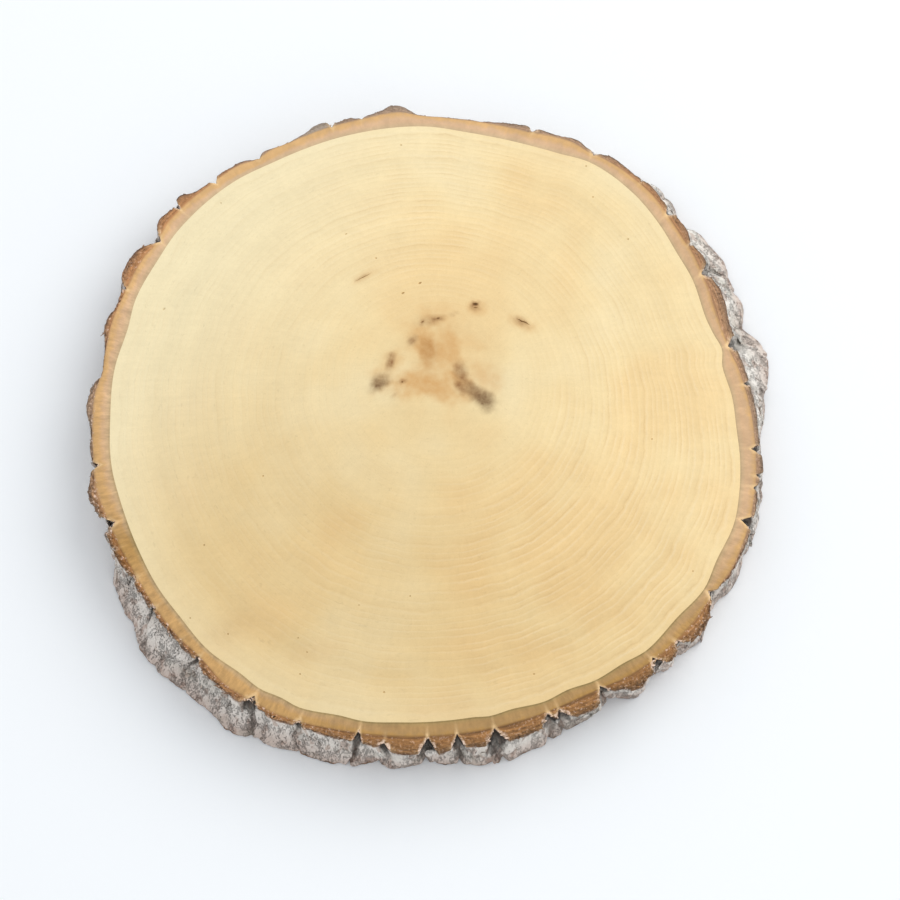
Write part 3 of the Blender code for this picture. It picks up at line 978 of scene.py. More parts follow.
@dataclass(frozen=True)
class CutBark:
    """Linden bark cut across: tan inner bark, smooth from the sander and golden towards its outside,
    with pale rays that widen to the fissures; and brown outer bark in thin layers, which tears."""

    name: str
    cambium: str = "#CFB38C"
    pink_bast: str = "#DBB48C"
    golden_bast: str = "#DAAE76"
    # Darker and browner towards the bottom: partly browner bark, partly painted shade
    browned: str = "#CFC7A4"
    # The same for the outer bark: partly browner bark, partly painted shade
    shade_and_brown_outer: str = "#DDDBC4"
    greyed: str = "#A39281"
    wood_line: str = "#8E7846"
    ray: str = "#F3CE98"
    seam: str = "#6A4826"
    rust: str = "#BC8452"
    brown: str = "#A3754D"
    skin: str = "#836048"
    # Pale torn fibre, partly painted highlight
    torn: str = "#EDD3C0"
    # Painted shade of pitting between the torn layers
    pit: str = "#3D2C20"
    tooth: float = 0.0004
    roughness: float = 0.78

    def material(self, trunk: Trunk) -> bpy.types.Material:
        """Builds the material, which reads the attributes layer, ray, golden, browned, greyed, seam,
        fray and fissure.

        Args:
            trunk: The trunk that the bark belongs to.

        Returns:
            The material.
        """
        material, add, place, mm = new_material(self.name)
        layer, ray, golden, browned, greyed, seam, fray, fissure = (
            add(f"Attribute {name}")
            for name in ("layer", "ray", "golden", "browned", "greyed", "seam", "fray", "fissure")
        )

        # Places that follow the bark: round the trunk, and out through its layers
        from_centre = add("VectorMath SUBTRACT", place, (*trunk.centre, 0.0))
        level = add("VectorMath MULTIPLY", from_centre, (1.0, 1.0, 0.0))
        heading = add("VectorMath NORMALIZE", level)
        outwards = add("CombineXYZ", Z=layer)
        streak_place = add("VectorMath MULTIPLY_ADD", heading, (34.0, 34.0, 34.0), outwards)
        streaks = add("TexNoise", streak_place, 1.0, 4.0, 0.6)
        along = add("VectorMath MULTIPLY", heading, (13.0, 13.0, 13.0))
        leaf_place = add("VectorMath MULTIPLY_ADD", outwards, (9.0, 9.0, 9.0), along)
        leaves = add("TexNoise", leaf_place, 1.0, 4.0, 0.65)
        grit = add("TexNoise", mm, 0.9, 5.0, 0.7)

        # Inner bark: pinkish next to the wood, golden farther out, and darker and browner towards the bottom,
        # partly browner bark and partly painted shade
        golden_from = add("Math MULTIPLY", golden, 0.9)
        gold = add("Math ADD", layer, golden_from)
        gold = add("Math MULTIPLY_ADD", streaks, 0.7, gold)
        gilded = add("MapRange", gold, 1.15, 1.45)
        bast = add("Mix", gilded, self.pink_bast, self.golden_bast)
        at_wood = add("MapRange", layer, 0.05, 0.35, 0.85, 0.0)
        bast = add("Mix", at_wood, bast, self.cambium)
        # Darker and browner towards the bottom: partly browner bark, partly painted shade away from the lamp
        bast = add("Mix MULTIPLY", browned, bast, self.browned)
        line = add("MapRange", layer, 0.03, 0.12, 0.75, 0.0)
        line_amount = add("Math MULTIPLY", line, browned)
        bast = add("Mix", line_amount, bast, self.wood_line)
        streak_light = add("MapRange", streaks, 0.3, 0.7, 0.89, 1.08)
        bast = add("Mix MULTIPLY", 1.0, bast, streak_light)
        torn_place = add("VectorMath MULTIPLY_ADD", heading, (62.0, 62.0, 62.0), outwards)
        torn_streaks = add("TexNoise", torn_place, 1.3, 4.0, 0.65)
        off_torn = add("Math SUBTRACT", torn_streaks, 0.5)
        off_torn = add("Math MULTIPLY", off_torn, fray)
        torn_light = add("Math MULTIPLY_ADD", off_torn, 1.1, 1.0)
        bast = add("Mix MULTIPLY", 1.0, bast, torn_light)

        # Outer bark, in layers that darken outwards
        depth = add("MapRange", layer, 1.0, 2.0)
        uneven = add("Math MULTIPLY_ADD", leaves, 0.9, depth)
        uneven = add("Math SUBTRACT", uneven, 0.45)
        tones = ((0.0, self.rust), (0.35, self.rust), (0.78, self.brown), (0.97, self.skin))
        outer = add("ValToRGB", uneven, stops=tones)
        leaf_light = add("MapRange", leaves, 0.34, 0.66, 1.28, 0.7)
        outer = add("Mix", greyed, outer, self.greyed)
        outer = add("Mix MULTIPLY", 1.0, outer, leaf_light)
        into_outer = add("Math MULTIPLY_ADD", grit, 0.35, layer)
        is_outer = add("MapRange", into_outer, 1.08, 1.28)
        # The same darkening of the outer bark: partly browner bark, partly painted shade
        outer = add("Mix MULTIPLY", browned, outer, self.shade_and_brown_outer)
        barked = add("Mix", is_outer, bast, outer)

        # The line that marks the inner bark off, broken here and there
        off_seam = add("Math SUBTRACT", layer, 1.06)
        off_seam = add("Math ABSOLUTE", off_seam)
        seam_line = add("MapRange", off_seam, 0.03, 0.2, 1.3, 0.0)
        broken = add("Math MULTIPLY", seam_line, leaves)
        seam_amount = add("Math MULTIPLY", broken, seam, use_clamp=True)
        seamed = add("Mix", seam_amount, barked, self.seam)

        # Rays; pale flecks of torn fibre, partly painted highlight on the torn edge and the brinks of the
        # fissures; and painted shade of pitting between the torn layers
        ray_noise = add("Math MULTIPLY_ADD", grit, 1.4, 0.2)
        inner = add("MapRange", layer, 1.25, 1.9, 1.0, 0.35)
        ray_noise = add("Math MULTIPLY", ray_noise, inner)
        ray_amount = add("Math MULTIPLY", ray, ray_noise, use_clamp=True)
        rayed = add("Mix", ray_amount, seamed, self.ray)
        # Pale flecks on the torn edge: partly torn fibre, partly painted highlight
        chips_and_glints = add("MapRange", grit, 0.56, 0.64, 0.0, 0.7)
        chips_and_glints = add("Math MULTIPLY", chips_and_glints, is_outer)
        chips_and_glints_amount = add("Math MULTIPLY", chips_and_glints, fray)
        torn = add("Mix", chips_and_glints_amount, rayed, self.torn)
        # Pale flecks on the brinks of the fissures: partly torn fibre, partly painted highlight
        flank = add("MapRange", fissure, 0.01, 0.1)
        brink_and_glint = add("MapRange", layer, 1.45, 1.8)
        brink_and_glint = add("Math MULTIPLY", brink_and_glint, flank)
        flakes = add("MapRange", grit, 0.42, 0.54, 0.0, 0.85)
        brink_and_glint = add("Math MULTIPLY", brink_and_glint, flakes)
        torn = add("Mix", brink_and_glint, torn, self.torn)
        # Painted shade of pitting in the outer bark
        pit_shade = add("MapRange", grit, 0.44, 0.34, 0.0, 0.9)
        pit_shaded = add("Math MULTIPLY", pit_shade, depth)
        dark = add("Mix", pit_shaded, torn, self.pit)
        gritty = add("Math MULTIPLY_ADD", is_outer, 0.55, 0.2)
        off_grit = add("Math SUBTRACT", grit, 0.5)
        grit_light = add("Math MULTIPLY_ADD", off_grit, gritty, 1.0)
        drift = add("TexNoise", mm, 1 / 18, 2.0)
        drift_light = add("MapRange", drift, 0.3, 0.7, 0.93, 1.07)
        light = add("Math MULTIPLY", grit_light, drift_light)
        colour = add("Mix MULTIPLY", 1.0, dark, light)

        rough = add("Math MULTIPLY_ADD", depth, 0.85, 0.15)
        layered = add("Math ADD", leaves, grit)
        relief = add("Math MULTIPLY", layered, rough)
        bump = add("Bump", Height=relief, Distance=self.tooth)
        return dress(material, Base_Color=colour, Roughness=self.roughness, IOR=PLANT_IOR, Normal=bump)


@dataclass(frozen=True)
class WeatheredBark:
    """The outside of linden bark: grown cork that rain and sun turn grey, warm brown where a flake
    has come off and greenish where it stays damp, with painted shade in its hollows and fissures. It is dry
    and matt."""

    name: str
    crest: str = "#EEE3DB"
    middle: str = "#DACCC3"
    low: str = "#BBACA2"
    # Painted shade in the fissures
    fissure: str = "#33291F"
    crack: str = "#54463D"
    flaked: str = "#A5806A"
    # Paler bark, partly painted light on the side towards the lamp
    bleached: str = "#F1EBE0"
    damp: str = "#A7A898"
    foot: str = "#E2D0C9"
    fresh: str = "#94694A"
    tooth: float = 0.0004
    roughness: float = 0.88

    def material(self, trunk: Trunk) -> bpy.types.Material:
        """Builds the material, which reads the attributes relief, fissure and bleached.

        Args:
            trunk: The trunk that the bark belongs to.

        Returns:
            The material.
        """
        material, add, place, mm = new_material(self.name)
        relief, fissure, bleached = (add(f"Attribute {name}") for name in ("relief", "fissure", "bleached"))
        tall = add("VectorMath MULTIPLY", mm, (1 / 7, 1 / 7, 1 / 24))
        patches = add("TexNoise", tall, 1.0, 4.0, 0.6)
        drawn_out = add("VectorMath MULTIPLY", mm, (1.1, 1.1, 0.13))
        fibres = add("TexNoise", drawn_out, 1.0, 4.0, 0.6)
        grit = add("TexNoise", mm, 1.7, 4.0, 0.7)

        tones = ((0.3, self.low), (0.48, self.middle), (0.68, self.crest))
        ground = add("ValToRGB", patches, stops=tones)
        # The bark is paler where the curve of bleaching is high: partly paler bark, partly painted light on
        # the side towards the lamp
        lit_and_faded = add("Math MULTIPLY", bleached, 0.88)
        pale = add("Mix", lit_and_faded, ground, self.bleached)
        streak = add("MapRange", fibres, 0.28, 0.72, 0.89, 1.09)
        streaked = add("Mix MULTIPLY", 1.0, pale, streak)

        # Warm patches where a flake has come off
        flakes = add("TexNoise", tall, 1.9, 2.0, 0.5)
        flaked = add("MapRange", flakes, 0.57, 0.62, 0.0, 0.45)
        flaked_off = add("Mix", flaked, streaked, self.flaked)

        # Green-grey bloom on the damp side, in patches some 20 mm wide
        bloom = add("TexNoise", mm, 1 / 19, 4.0, 0.65)
        bloomed = add("MapRange", bloom, 0.54, 0.68, 0.0, 0.45)
        damp = add("Mix", bloomed, flaked_off, self.damp)

        # Fine cracks round small upright flakes
        warp = add("VectorMath MULTIPLY_ADD", (fibres, "Color"), (1.6, 1.6, 1.6), tall)
        cells = add("TexVoronoi DISTANCE_TO_EDGE", warp, 1.1)
        crack = add("MapRange", cells, 0.0, 0.07, 1.0, 0.0)
        crack_shown = add("Math MULTIPLY", crack, 0.24)
        damp = add("Mix", crack_shown, damp, self.crack)

        # Hollows are painted darker, and a fissure darkest: painted shade in the recesses
        hollow_shade = add("MapRange", relief, 0.4, 1.6, 0.0, 0.3)
        sunk = add("Mix", hollow_shade, damp, self.low)
        darkest = add("MapRange", bleached, 0.75, 1.0, 0.97, 0.65)
        height = (add("SeparateXYZ", place), "Z")
        # The painted shade in the fissures fades lower down the wall
        cleft_shade_by_height = add("MapRange", height, 0.013, 0.023, 0.35, 1.0)
        darkest = add("Math MULTIPLY", darkest, cleft_shade_by_height)
        cleft = add("MapRange", fissure, 0.06, 0.45, 0.0, darkest)
        cleft_shaded = add("Mix", cleft, sunk, self.fissure)

        # The foot of the bark is warmer and darker
        toward_foot = add("MapRange", height, 0.004, 0.017, 0.7, 0.0)
        cleft_shaded = add("Mix MULTIPLY", toward_foot, cleft_shaded, self.foot)

        # Freshly torn bark shows brown along both cut edges
        middle = add("Math SUBTRACT", height, trunk.thickness / 2)
        off_middle = add("Math ABSOLUTE", middle)
        ragged = add("Math MULTIPLY_ADD", patches, 0.006, off_middle)
        half = trunk.thickness / 2
        torn = add("MapRange", ragged, half + 0.0016, half + 0.0028, 0.0, 0.8)
        fresh = add("Mix", torn, cleft_shaded, self.fresh)
        grit_light = add("MapRange", grit, 0.25, 0.75, 0.92, 1.07)
        colour = add("Mix MULTIPLY", 1.0, fresh, grit_light)

        rough = add("Math ADD", fibres, grit)
        rough = add("Math MULTIPLY_ADD", crack, -1.5, rough)
        rough = add("Math MULTIPLY_ADD", flaked, -1.0, rough)
        bump = add("Bump", Height=rough, Distance=self.tooth)
        return dress(material, Base_Color=colour, Roughness=self.roughness, IOR=PLANT_IOR, Normal=bump)


@dataclass(frozen=True)
class PaleFloor:
    """A sheet of matt white paper, which takes a soft shadow."""

    name: str = "matt white paper"
    paper: str = "#F8FAFB"
    tooth: float = 0.00002
    roughness: float = 0.9

    def material(self) -> bpy.types.Material:
        """Builds the material.

        Returns:
            The material.
        """
        material, add, _, mm = new_material(self.name)
        tooth = add("TexNoise", mm, 0.9, 2.0)
        bump = add("Bump", Height=tooth, Distance=self.tooth)
        return dress(
            material, Base_Color=self.paper, Roughness=self.roughness, IOR=PLANT_IOR, Normal=bump
        )


@dataclass
class Wood:
    """The wood inside the bark, in two slabs that meet at mid height: one holds the sanded face and
    the other the sawn underside.

    Sizes are in metres, apart from those of the checks, which are in millimetres.
    """

    trunk: Trunk
    columns: int = 360
    spacing_at_pith: float = 0.0009
    spacing_at_bark: float = 0.0022
    lap_under_bark: float = 0.0003
    arris: float = 0.00008
    side_drops: tuple[float, ...] = (0.02, 0.15, 0.3, 0.5)
    stain_ripples_per_mm: tuple[float, float] = (0.13, 0.4)
    check_span: tuple[float, float] = (0.04, 0.96)
    check_steps: int = 11
    check_bend: float = 0.4
    check_ripples_per_step: float = 0.6
    check_above_face: float = 0.5
    tips_above_face: float = 0.2

    def growths(self, drop: float) -> np.ndarray:
        """The growth of each ring of vertices of a face, closer together near the pith.

        Args:
            drop: The drop of the face.

        Returns:
            The growths, from next to the pith to the bark.
        """
        reach = self.trunk.ring_radius(1.0, np.zeros(1), drop)[0]
        steps = int(2 * reach / (self.spacing_at_pith + self.spacing_at_bark))
        even = np.arange(1, steps + 1) / steps
        ratio = self.spacing_at_pith / self.spacing_at_bark
        return even * (2 * ratio + (1 - ratio) * even) / (1 + ratio)

    def slab(self, face: Face) -> bpy.types.Mesh:
        """Builds the closed slab of wood under one face.

        Args:
            face: The face that the slab holds.

        Returns:
            The mesh.
        """
        trunk = self.trunk
        headings = turns(self.columns)
        level = trunk.height(face.drop)
        rows = [(trunk.ring_radius(growth, headings, face.drop), level) for growth in self.growths(face.drop)]
        rim = trunk.ring_radius(1.0, headings, face.drop)
        rows.append((rim + self.arris, level + face.inwards * self.arris))
        for step in self.side_drops:
            drop = abs(face.drop - step)
            side = trunk.ring_radius(1.0, headings, drop) + self.lap_under_bark
            rows.append((side, trunk.height(drop)))
        rings = np.array([spread(trunk.pith, radius, headings, height) for radius, height in rows])
        poles = [(*trunk.pith, level), (*trunk.pith, trunk.height(0.5))]
        if face is Face.SAWN:
            rings, poles = rings[::-1], poles[::-1]
        return ringed_mesh(f"{face.value} slab", rings, poles)

    def pinhole_tree(self) -> bpy.types.NodeTree:
        """Builds the tree that sets a tapered plug on each point it is given.

        Returns:
            The tree, which reads each point's attributes span and turn.
        """
        tree, add, given = new_tree("pinhole plugs", {
            "Sides": "Int", "Mouth": "Float", "Foot": "Float", "Share sunk": "Float", "Material": "Material",
        })
        plug = add(
            "MeshCone", Vertices=(given, "Sides"), Radius_Top=(given, "Mouth"),
            Radius_Bottom=(given, "Foot"), Depth=1.0,
        )
        lowered = add("Math MULTIPLY", (given, "Share sunk"), -1.0)
        lowering = add("CombineXYZ", Z=lowered)
        placed = add("Transform", Geometry=plug, Translation=lowering)
        points = add("MeshToPoints", Mesh=(given, "Geometry"))
        span = add("InputNamedAttribute FLOAT_VECTOR", Name="span")
        turn = add("InputNamedAttribute FLOAT_VECTOR", Name="turn")
        turned = add("EulerToRotation", turn)
        plugs = add("InstanceOnPoints", Points=points, Instance=placed, Rotation=turned, Scale=span)
        real = add("RealizeInstances", plugs)
        finished = add("SetMaterial", Geometry=real, Material=(given, "Material"))
        add("GroupOutput", finished)
        return tree

    def pinhole_plugs(self, material: bpy.types.Material) -> bpy.types.Object:
        """Builds the solids that the pinholes are cut with.

        Args:
            material: The material of the holes' sides.

        Returns:
            The plugs, as one object.
        """
        places = np.array([(hole.x * MM, hole.y * MM) for hole in PINHOLES]) + self.trunk.centre
        mesh = bpy.data.meshes.new("pinhole places")
        mesh.from_pydata([(*place, self.trunk.thickness) for place in places.tolist()], [], [])
        store(mesh, "span", np.array([(hole.length, hole.width, hole.depth) for hole in PINHOLES]) * MM)
        store(mesh, "turn", np.array([(0.0, 0.0, math.radians(hole.turn)) for hole in PINHOLES]))
        plugs = place_object(mesh, "pinhole_plugs")
        run_tree(plugs, self.pinhole_tree(), {
            "Sides": 9, "Mouth": 0.6, "Foot": 0.15, "Share sunk": 0.75, "Material": material,
        })
        return plugs

    def check_wedge(self, check: Check) -> bpy.types.Object:
        """Builds the thin wedge, pointed at both ends, that a check is cut with.

        Args:
            check: The check.

        Returns:
            The wedge.
        """
        start, end = np.array(check.start), np.array(check.end)
        along = (end - start) / np.linalg.norm(end - start)
        aside = np.array((-along[1], along[0]))
        rings = []
        above = self.check_above_face
        for number, share in enumerate(np.linspace(*self.check_span, self.check_steps)):
            fullness = 4 * share * (1 - share)
            ripple = noise.noise((number * self.check_ripples_per_step, check.depth, check.width))
            middle = start + (end - start) * share + aside * self.check_bend * ripple * fullness
            half = aside * check.width * fullness / 2
            rings.append([
                (*(middle + half), above), (*(middle - half), above), (*middle, -check.depth * fullness),
            ])
        place = np.array((*self.trunk.centre, self.trunk.thickness))
        tips = [np.array((*tip, self.tips_above_face)) * MM + place for tip in (start, end)]
        mesh = ringed_mesh("check", np.array(rings) * MM + place, tips)
        work = bmesh.new()
        work.from_mesh(mesh)
        bmesh.ops.recalc_face_normals(work, faces=work.faces)
        work.to_mesh(mesh)
        work.free()
        return place_object(mesh, "check_wedge")

    def stain(self, points: np.ndarray, tint: Tint) -> np.ndarray:
        """How stained each point is.

        Args:
            points: Points of the frame.
            tint: What stained the wood.

        Returns:
            0 for clean wood, up to 1, for each point.
        """
        across = (points[:, :2] - self.trunk.centre) / MM
        flat = np.zeros(len(across))
        broad, fine = (
            noise_at(np.column_stack([across * ripples, flat])) for ripples in self.stain_ripples_per_mm
        )
        darkest = np.zeros(len(points))
        for patch in STAINS[tint]:
            turn = math.radians(patch.turn)
            offset = across - (patch.x, patch.y)
            along = offset @ (math.cos(turn), math.sin(turn)) / patch.reach
            aside = offset @ (-math.sin(turn), math.cos(turn)) / patch.half_width
            fade = 1 - smoothstep(0.1, 1.25, np.hypot(along, aside) + 0.45 * (broad + 0.5 * fine))
            darkest = np.maximum(darkest, patch.strength * fade)
        return darkest

    def build(self, face: Face, finish: EndGrain) -> None:
        """Builds one slab, with its finish.

        Args:
            face: The face that the slab holds.
            finish: The finish of its wood.
        """
        piece = place_object(self.slab(face), f"{face.value}_linden_wood")
        material = finish.material(self.trunk)
        piece.data.materials.append(material)
        if face is Face.SANDED:
            for tool in (self.pinhole_plugs(material), *map(self.check_wedge, CHECKS)):
                cut_out(piece, tool)
        points = points_of(piece.data)
        growth = self.trunk.growth_at(points, face.drop)
        off_centre = points[:, :2] - self.trunk.centre
        shown = through(RINGS_SHOWN, np.degrees(np.arctan2(off_centre[:, 1], off_centre[:, 0])))
        store(piece.data, "growth", growth)
        store(piece.data, "rings", shown * smoothstep(0.1, 0.6, growth))
        off_face = np.abs(points[:, 2] - self.trunk.height(face.drop))
        stained = float(face is Face.SANDED) * (off_face < self.trunk.thickness / 3)
        for tint in Tint:
            store(piece.data, tint.value, stained * self.stain(points, tint))
        hand_over(piece, "wood")


@dataclass
class Row:
    """A ring of vertices of the bark: its distance from the trunk's centre, its height and how far
    out through the bark's layers it lies, for each column, and how rough it is."""

    radius: np.ndarray
    height: np.ndarray
    layer: np.ndarray
    rough: float
    wall: float
    drop: float


@dataclass(frozen=True)
class Scatter:
    """A kind of small piece that is strewn over the bark. Lengths are in metres and angles in degrees."""

    name: str
    per_square_metre: float
    span: tuple[float, float, float]
    least: float
    most: float
    spin: float
    tilt: float
    sunk: float
    crumpled: float
    seed: int


SCALES = Scatter(
    name="scales", per_square_metre=20000.0, span=(0.0098, 0.0044, 0.0010), least=0.5, most=1.4,
    spin=14.0, tilt=7.0, sunk=0.0, crumpled=0.0005, seed=3,
)
CRUMBS = Scatter(
    name="crumbs", per_square_metre=620000.0, span=(0.0023, 0.0009, 0.0006), least=0.4, most=1.3,
    spin=35.0, tilt=20.0, sunk=0.0, crumpled=0.0004, seed=5,
)
FIBRES = Scatter(
    name="fibres", per_square_metre=160000.0, span=(0.0042, 0.0004, 0.0003), least=0.5, most=1.2,
    spin=40.0, tilt=12.0, sunk=0.0001, crumpled=0.0003, seed=8,
)


@dataclass
class Bark:
    """The ring of bark, its loose scales, its crumbs and its torn fibres.

    Sizes are in metres, apart from those of the glows and rays, which are in millimetres.
    """

    trunk: Trunk
    columns: int = 1440
    bast_rows: dict[Face, int] = field(default_factory=lambda: {Face.SANDED: 4, Face.SAWN: 3})
    outer_rows: dict[Face, int] = field(default_factory=lambda: {Face.SANDED: 8, Face.SAWN: 4})
    wall_count: int = 42
    lap_under_wood: float = 0.0002
    groove_width: float = 0.0005
    groove_depth: float = 0.00007
    least_bast: float = 0.001
    least_outer: float = 0.0004
    least_left: float = 0.0003
    bast_sink: float = 0.00002
    worn_depth: float = 0.0005
    torn_depth: float = 0.0011
    torn_back: float = 0.0008
    bleached_wear: float = 0.45
    tear_pitches: tuple[float, float] = (0.0034, 0.0011)
    bump_pitch: float = 0.0015
    glow_peak: float = 1.35
    glow_least: float = 0.6
    glow_reach: float = 1.6
    ray_strength: float = 0.55
    ray_half_width: float = 0.95
    ray_reach: float = 6.0
    least_shown: float = 0.3
    shown_per_depth: float = 1 / 4.5

    @property
    def degrees(self) -> np.ndarray:
        """The angle of each column."""
        return turns(self.columns)

    def cut_rows(self, face: Face) -> list[Row]:
        """The rows of the bark's cut edge, from the wood out to the rim.

        Args:
            face: The face that the edge belongs to.

        Returns:
            The rows.
        """
        trunk, degrees = self.trunk, self.degrees
        level = trunk.height(face.drop)
        wood = trunk.wood_radius(degrees, face.drop)
        rim_drop = np.array([abs(face.drop - trunk.edge_drop / trunk.thickness)])
        rim = trunk.bark_radius(degrees, rim_drop)[0]
        fray = through(FRAYED, degrees)
        edge = np.maximum(rim, wood + trunk.least_bark / 2)
        bast = trunk.bast_radius(degrees, face.drop)
        bast = np.clip(bast, wood + self.least_bast, edge - self.least_outer)
        places = spread(trunk.centre, edge, degrees, level)
        coarse, fine = (noise_at(places / pitch) for pitch in self.tear_pitches)
        ragged = 0.5 + 0.5 * coarse + 0.3 * fine
        torn_back = self.torn_back * (0.15 + fray) * np.clip(1 - ragged, 0, 1)
        edge = np.maximum(edge - torn_back, bast + self.least_left)
        flat = np.ones(self.columns)
        groove = self.groove_depth * (0.25 + 0.75 * through(SHADE_AND_BROWN, degrees))

        def row(radius: np.ndarray, sink: np.ndarray | float, layer: float, rough: float) -> Row:
            """A row of this edge, sunk this far into its face."""
            return Row(radius, level + face.inwards * sink * flat, layer * flat, rough, 0.0, face.drop)

        rows = [
            row(wood - self.lap_under_wood, 3 * self.groove_depth, 0.0, 0.0),
            row(wood + 0.35 * self.groove_width, groove, 0.0, 0.0),
        ]
        for share in np.linspace(0.0, 1.0, self.bast_rows[face]):
            start = wood + self.groove_width
            rows.append(row(start + (bast - start) * share, self.bast_sink, 0.05 + 0.95 * share, 0.0))
        for share in np.linspace(0.0, 1.0, self.outer_rows[face] + 1)[1:]:
            radius = bast + (edge - bast) * share
            bumps = noise_at(spread(trunk.centre, radius, degrees, level) / self.bump_pitch)
            torn = 0.3 * self.worn_depth + self.torn_depth * fray
            torn = torn * smoothstep(0.0, 0.5, share) * np.clip(0.35 + bumps, 0, 1)
            rows.append(row(radius, self.worn_depth * share * 0.6 + torn, 1.0 + share, 0.3 * share))
        rows.append(row(0.5 * (edge + rim), self.worn_depth * (0.5 + 0.5 * ragged), 2.0, 0.6))
        return rows

    def wall_rows(self) -> list[Row]:
        """The rows of the bark's outside, from the cut face down.

        Returns:
            The rows.
        """
        trunk, degrees = self.trunk, self.degrees
        edge = trunk.edge_drop / trunk.thickness
        drops = np.linspace(edge, 1 - edge, self.wall_count)
        radii = trunk.bark_radius(degrees, drops)
        flat = np.ones(self.columns)
        return [
            Row(radius, trunk.height(drop) * flat, 2.0 * flat, rough, 1.0, drop)
            for radius, drop, rough in zip(radii, drops, 0.35 + 0.65 * smoothstep(0.0, 0.14, drops))
        ]

    def rays(self, radius: np.ndarray, drops: np.ndarray) -> np.ndarray:
        """How strongly a pale ray shows at each place of the bark.

        Each starts as a glow along a fissure's flanks, and runs in from its foot and fades.

        Args:
            radius: Distance from the trunk's centre, as (row, column).
            drops: The drop of each row.

        Returns:
            0 to 1, as (row, column).
        """
        strongest = np.zeros(radius.shape)
        for number, (place, depth, half_width) in enumerate(FISSURES):
            aside = self.trunk.beside_fissure(number, self.degrees, drops)
            edge = float(through(BARK_EDGE, np.array([place]))[0])
            notch = depth * np.clip(1 - aside / half_width, 0, 1) ** self.trunk.fissure_point
            off_flank = np.clip(edge - notch - radius / MM, 0, None)
            off_glow = np.hypot(aside / (self.glow_least + half_width), off_flank / self.glow_reach)
            past_foot = np.clip(edge - depth - radius / MM, 0, None)
            ray = (1 - aside / self.ray_half_width) * np.clip(1 - past_foot / self.ray_reach, 0, 1)
            light = np.clip(np.maximum(self.glow_peak - off_glow, self.ray_strength * ray), 0, 1)
            shown = min(1.0, self.least_shown + self.shown_per_depth * depth)
            strongest = np.maximum(strongest, shown * light)
        return strongest

    def relief_tree(self) -> bpy.types.NodeTree:
        """Builds the tree that carves the bark's outside: thin layers broken off in steps, cracks
        between the plates, and fine upright grooves.

        Returns:
            The tree, which keeps how deep it cut, in millimetres, as the attribute relief.
        """
        tree, add, given = new_tree("bark relief", {
            "Plate": "Vector", "Steps": "Float", "Step depth": "Float", "Crack depth": "Float",
            "Groove": "Vector", "Groove depth": "Float", "Cut": "Material", "Weathered": "Material",
        })
        place = add("InputPosition")
        scaled = add("VectorMath DIVIDE", place, (given, "Plate"))

        # Layers broken off in steps
        layers = add("TexNoise", scaled, 1.2, 3.0, 0.55)
        counted = add("Math SUBTRACT", layers, 0.36)
        counted = add("Math MULTIPLY", counted, (given, "Steps"))
        counted = add("Math MAXIMUM", counted, 0.0)
        whole = add("Math FLOOR", counted)
        part = add("Math FRACT", counted)
        riser = add("MapRange SMOOTHSTEP", part, 0.78, 1.0)
        stepped = add("Math ADD", whole, riser)
        depth = add("Math MULTIPLY", stepped, (given, "Step depth"))

        # Cracks between the plates, open in places
        warp = add("TexNoise", scaled, 2.2, 2.0)
        warped = add("VectorMath MULTIPLY_ADD", (warp, "Color"), (0.8, 0.8, 0.8), scaled)
        cells = add("TexVoronoi DISTANCE_TO_EDGE", warped, 1.0)
        crack = add("MapRange", cells, 0.0, 0.12, 1.0, 0.0)
        opened = add("MapRange", layers, 0.44, 0.6)
        crack = add("Math MULTIPLY", crack, opened)
        depth = add("Math MULTIPLY_ADD", crack, (given, "Crack depth"), depth)

        # Fine upright grooves
        upright = add("VectorMath DIVIDE", place, (given, "Groove"))
        grooves = add("TexNoise", upright, 1.0, 3.0, 0.6)
        groove = add("MapRange", grooves, 0.3, 0.6, 1.0, 0.0)
        depth = add("Math MULTIPLY_ADD", groove, (given, "Groove depth"), depth)

        rough = add("InputNamedAttribute FLOAT", Name="rough")
        depth = add("Math MULTIPLY", depth, rough)
        inwards = add("Math MULTIPLY", depth, -1.0)
        outward = add("InputNamedAttribute FLOAT_VECTOR", Name="outward")
        offset = add("VectorMath SCALE", outward, inwards)
        in_mm = add("Math MULTIPLY", depth, 1 / MM)
        kept = add(
            "StoreNamedAttribute FLOAT", Geometry=(given, "Geometry"), Name="relief", Value=in_mm,
            domain="POINT",
        )
        carved = add("SetPosition", Geometry=kept, Offset=offset)
        real = add("RealizeInstances", carved)
        wall = add("InputNamedAttribute FLOAT", Name="wall")
        outside = add("Math GREATER_THAN", wall, 0.3)
        cut = add("SetMaterial", Geometry=real, Material=(given, "Cut"))
        finished = add("SetMaterial", Geometry=cut, Selection=outside, Material=(given, "Weathered"))
        add("GroupOutput", finished)
        return tree

